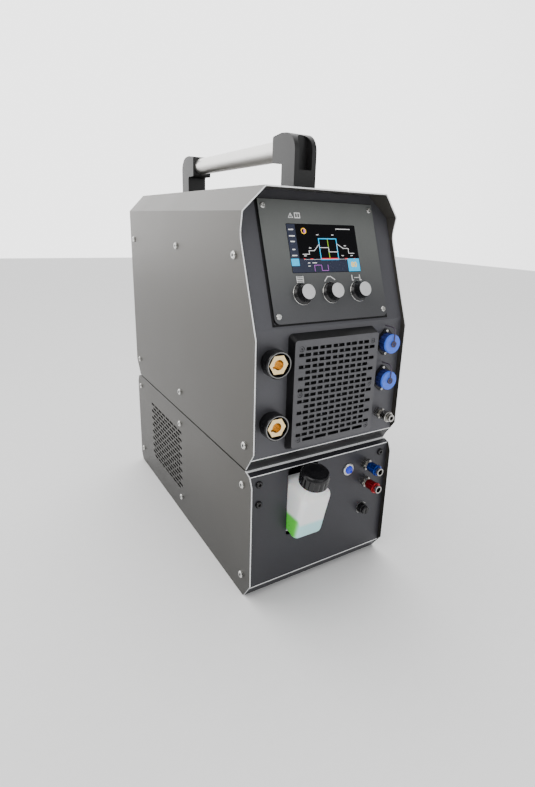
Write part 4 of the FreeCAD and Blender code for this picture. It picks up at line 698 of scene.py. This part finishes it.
def round_loop(builder, like, radius, height):
    """Circle about the neck with one vertex for each vertex of the loop it grows from."""
    loop = []
    for vertex in like:
        angle = math.atan2(vertex.co.y - NECK_Y, vertex.co.x)
        x = radius * math.cos(angle)
        y = NECK_Y + radius * math.sin(angle)
        loop.append(builder.verts.new((x, y, height)))
    return loop


def build_bottle():
    """Blow-moulded square bottle: soft edges, swept shoulder, collar and a threaded neck."""
    builder = bmesh.new()
    loops = []
    wall = ((0.0, 5.5), (0.4, 3.4), (1.6, 1.6), (3.6, 0.5), (6.5, 0.0), (20, 0.0), (36, 0.12), (52, 0.1),
            (66, 0.0), (70.5, 0.3), (73.2, 1.1), (75.2, 2.6))
    for height, inset in wall:
        d = inset * MM
        radius = BOTTLE_CORNER - d * 0.3
        loops.append(rounded_loop(builder, BOTTLE_HALF - d, d, BOTTLE_DEEP - d, radius, height * MM))
    for loop in loops[-5:]:
        for vertex in loop:
            share = max(0.0, (vertex.co.y - NECK_Y) / (BOTTLE_DEEP - NECK_Y))
            vertex.co.z -= BACK_DROP * share * share
    top = loops[-1]
    wall_top = wall[-1][0] * MM
    for share, height in ((0.30, 77.6), (0.62, 80.6), (0.88, 83.0)):
        ring = []
        for vertex in top:
            angle = math.atan2(vertex.co.y - NECK_Y, vertex.co.x)
            target = Vector((COLLAR_R * math.cos(angle), NECK_Y + COLLAR_R * math.sin(angle), 0))
            here = Vector((vertex.co.x, vertex.co.y, 0)).lerp(target, share)
            z = height * MM + (vertex.co.z - wall_top) * (1 - share)
            ring.append(builder.verts.new((here.x, here.y, z)))
        loops.append(ring)
    neck = [(14.6, 84.4), (14.1, 85.2), (13.9, 86.4)]
    for thread in (88.0, 92.0, 96.0):
        neck += [(13.9, thread), (13.98, thread + 0.6), (13.9, thread + 1.4)]
    neck += [(13.9, 100.6), (13.7, 101.0), (12.4, 101.0), (12.2, 100.4), (12.2, 86.0)]
    for radius, height in neck:
        loops.append(round_loop(builder, top, radius * MM, height * MM))
    skin(builder, loops)
    builder.faces.new(loops[0][::-1])
    add_piece("moulded_bottle", builder, "bottle", "root", bottle_frame(), ("coolant_bottle",))


def build_bottle_cap():
    """Black screw cap: rolled top edge, shallow disc on top and broad grip flutes."""
    builder = bmesh.new()
    box_low, box_high = corner_pair("bottle_cap")
    wide = (box_high.x - box_low.x) / 2 / MM

    def flutes(angle, radius, height):
        if not CAP_FOOT + 1.2 * MM < height < CAP_TOP - 5.4 * MM:
            return radius
        wave = 0.5 + 0.5 * math.cos(angle * CAP_FLUTES)
        return radius - 1.1 * MM * (1 - wave ** 0.4)

    def turned(points):
        return [(r * MM, CAP_FOOT + h * MM) for r, h in points]

    outside = [(14.5, 0.0), (wide - 0.9, 0.0), (wide - 0.4, 0.3), (wide - 0.15, 0.9), (wide, 1.5),
               (wide, 4.0), (wide, 8.0), (wide, 12.0), (wide - 0.05, 14.4), (wide - 0.2, 15.0),
               (wide - 0.7, 16.2), (wide - 1.7, 18.0), (wide - 2.6, 19.2), (wide - 3.3, 19.6),
               (wide - 4.1, 19.7), (wide - 4.9, 19.45), (wide - 5.5, 19.3), (7.0, 19.4), (1.0, 19.5)]
    rings = lathe(builder, turned(outside), 192, flutes)
    close_ring(builder, rings[-1])
    inner = lathe(builder, turned([(14.5, 16.0), (14.5, 0.0)]), 192)
    close_ring(builder, inner[0], True)
    bmesh.ops.remove_doubles(builder, verts=builder.verts, dist=1e-6)
    place = bottle_frame() @ Matrix.Translation((0, NECK_Y, 0))
    add_piece("fluted_bottle_cap", builder, "black_gloss", "bottle_cap", place, ("bottle_cap",))


# ---- small parts on the front --------------------------------------------------------------------
DUST_CAP_TEETH = 14
TIE_BOSS_HIGH = 2.2 * MM                # the boss stands this far out of a dust cap's face


def build_dust_cap(node):
    """Blue cap of a signal connector: flat face with a rim, toothed navy skirt, tie boss."""
    low, high = corner_pair(node)
    middle = (low + high) / 2
    deep = high.y - low.y - TIE_BOSS_HIGH
    radius = (high.x - low.x) / 2
    builder = bmesh.new()

    def teeth(angle, r, height):
        notch = math.cos(angle * DUST_CAP_TEETH) > 0.25 and height < deep - 4.0 * MM and r > 10 * MM
        return r - 0.9 * MM if notch else r

    skirt = [(9.2 * MM, 0), (radius, 0), (radius, 0.4 * MM), (radius, deep - 4.1 * MM)]
    lathe(builder, skirt, 168, teeth, 1)
    face = [(radius - 0.9 * MM, deep - 4.1 * MM), (radius, deep - 3.8 * MM), (radius, deep - 1.2 * MM),
            (radius - 0.5 * MM, deep - 0.3 * MM), (radius - 1.2 * MM, deep),
            (radius - 2.2 * MM, deep - 0.35 * MM), (4.5 * MM, deep - 0.35 * MM),
            (2.6 * MM, deep - 0.2 * MM)]
    lathe(builder, face, 168, None, 0)
    boss = [(2.6 * MM, deep - 0.2 * MM), (2.1 * MM, deep), (2.0 * MM, deep + 1.6 * MM),
            (1.5 * MM, deep + 2.1 * MM)]
    rings = lathe(builder, boss, 48, None, 1)
    close_ring(builder, rings[-1], False, 1)
    add_piece(node + "_moulded", builder, ("blue_cap", "navy_skirt"), node,
              facing_front(middle.x, high.y, middle.z), (node,))


def build_trims():
    """Bright strips along the folds of the front panels, near-white and glowing: painted highlight where
    the folds catch the light.
    """
    upper = corner_pair("upper_front_panel")[0]
    lower = corner_pair("lower_front_panel")[0]
    cooler_top = corner_pair("lower_cover")[1].z
    half = -upper.x - 0.4 * MM
    thick = 1.1 * MM
    proud = 0.25 * MM
    builder = bmesh.new()
    for y, z in ((upper.y, upper.z), (lower.y, lower.z), (lower.y, cooler_top - 6.0 * MM)):
        block(builder, (-half, y - proud, z), (half, y + proud, z + thick))
    add_piece("fold_highlight_strips", builder, "bare_edge", smooth=False, bevel=0.2 * MM)


VENT_MIDDLE = FRONT + 334.4 * MM
VENT_HALF = 92 * MM
VENT_LOW = 40 * MM
VENT_HIGH = 164 * MM


def build_shade_backers():
    """Black sheets behind the front grille and behind the side vent, where the inside shows only as shade:
    painted shade.
    """
    grille_low, grille_high = corner_pair("front_grille")
    builder = bmesh.new()
    inset = 13 * MM
    rise = 14 * MM
    block(builder, (grille_low.x + inset, grille_high.y - 3.0 * MM, grille_low.z + rise),
          (grille_high.x - inset, grille_high.y - 1.0 * MM, grille_high.z - rise))
    inside = corner_pair("lower_cover")[0].x + 2.2 * MM
    block(builder, (inside, VENT_MIDDLE - VENT_HALF, VENT_LOW),
          (inside + 2 * MM, VENT_MIDDLE + VENT_HALF, VENT_HIGH))
    add_piece("shade_backing_sheets", builder, "foam", smooth=False, bevel=0.4 * MM)


def build_socket_details():
    """Grey ring round each weld socket's mouth: painted highlight for the thin light edge of the black lip.
    """
    low, high = corner_pair("socket_collars")
    radius = (high.x - low.x) / 2
    middle_x = (low.x + high.x) / 2
    for name, z in (("lower", low.z + radius), ("upper", high.z - radius)):
        builder = bmesh.new()
        ring = [(radius - 2.6 * MM, -0.2 * MM), (radius - 2.3 * MM, 0.12 * MM),
                (radius - 1.7 * MM, 0.16 * MM), (radius - 1.3 * MM, -0.1 * MM),
                (radius - 1.3 * MM, -0.5 * MM)]
        lathe(builder, ring, 96)
        add_piece("socket_lip_highlight_" + name, builder, "rim", place=facing_front(middle_x, low.y, z))


def build_fuse_details():
    """Thin bright ring round the fuse holder's flange."""
    low, high = corner_pair("fuse_holder")
    middle = (low + high) / 2
    radius = (high.x - low.x) / 2
    builder = bmesh.new()
    ring = [(radius - 0.1 * MM, 0.1 * MM), (radius + 0.35 * MM, 0.1 * MM), (radius + 0.35 * MM, 0.9 * MM),
            (radius - 0.1 * MM, 0.9 * MM)]
    lathe(builder, ring, 72)
    panel_y = corner_pair("lower_front_panel")[0].y
    add_piece("fuse_washer", builder, "silver", place=facing_front(middle.x, panel_y, middle.z))


# ---- camera, light and floor ----------------------------------------------------------------------
def build_camera():
    azimuth = math.radians(-31.79)
    elevation = math.radians(16.78)
    roll = math.radians(1.92)
    back = Vector((math.sin(azimuth) * math.cos(elevation), -math.cos(azimuth) * math.cos(elevation),
                   math.sin(elevation)))
    right = Vector((math.cos(azimuth), math.sin(azimuth), 0))
    up = back.cross(right)
    turned_right = right * math.cos(roll) + up * math.sin(roll)
    turned_up = up * math.cos(roll) - right * math.sin(roll)
    data = bpy.data.cameras.new("camera")
    data.sensor_width = 36.0
    data.lens = 22.49
    data.shift_x = -0.0133
    data.shift_y = -0.0283
    data.clip_start = 0.01
    camera = bpy.data.objects.new("camera", data)
    place = Matrix((turned_right, turned_up, back)).transposed().to_4x4()
    place.translation = Vector((-0.3881, FRONT - 0.4843, 0.5036))
    camera.matrix_world = place
    bpy.context.scene.collection.objects.link(camera)
    bpy.context.scene.camera = camera


def area_light(name, power, size, place, target, colour=(1, 1, 1)):
    data = bpy.data.lights.new(name, "AREA")
    data.energy = power
    data.size = size
    data.color = colour
    light = bpy.data.objects.new(name, data)
    light.location = place
    light.rotation_euler = (Vector(target) - Vector(place)).to_track_quat("-Z", "Y").to_euler()
    bpy.context.scene.collection.objects.link(light)


def build_studio():
    world = bpy.data.worlds.new("studio")
    world.use_nodes = True
    nodes = world.node_tree.nodes
    links = world.node_tree.links
    way = nodes.new("ShaderNodeTexCoord")
    parts = nodes.new("ShaderNodeSeparateXYZ")
    links.new(way.outputs["Generated"], parts.inputs["Vector"])
    glow = nodes.new("ShaderNodeMapRange")
    glow.interpolation_type = "SMOOTHSTEP"
    glow.inputs["From Min"].default_value = -0.2
    glow.inputs["From Max"].default_value = 0.75
    glow.inputs["To Min"].default_value = 0.45
    glow.inputs["To Max"].default_value = 3.2
    links.new(parts.outputs["Y"], glow.inputs["Value"])
    links.new(glow.outputs["Result"], nodes["Background"].inputs["Strength"])
    nodes["Background"].inputs["Color"].default_value = (1.0, 1.0, 1.0, 1)
    bpy.context.scene.world = world
    area_light("key_left", 14, 1.2, (-1.3, -0.9, 1.7), (0, 0, 0.35), (1.0, 0.985, 0.96))
    area_light("front_fill", 5, 1.0, (0.5, -1.9, 1.1), (0, -0.2, 0.35), (0.96, 0.98, 1.0))
    area_light("top_soft", 8, 1.4, (0.1, -0.2, 2.2), (0, 0, 0.5))
    builder = bmesh.new()
    block(builder, (-6, -6, -0.02), (6, 6, 0))
    mesh = bpy.data.meshes.new("floor")
    builder.to_mesh(mesh)
    builder.free()
    mesh.materials.append(MATERIALS["floor"])
    floor = bpy.data.objects.new("floor", mesh)
    floor.location.z = FLOOR_Z
    bpy.context.scene.collection.objects.link(floor)


def main():
    finish_frame()
    build_display()
    build_plate_marks()
    build_gap_shade_strip()
    build_knobs()
    build_bottle()
    build_bottle_cap()
    for node in ("connector_cap_upper", "connector_cap_lower"):
        build_dust_cap(node)
    build_trims()
    build_shade_backers()
    build_socket_details()
    build_fuse_details()
    soften("handle_front_post", 1.6 * MM, 3)
    soften("handle_rear_post", 1.6 * MM, 3)
    soften("front_grille", 0.4 * MM)
    soften("control_plate", 0.5 * MM)
    build_camera()
    build_studio()


main()
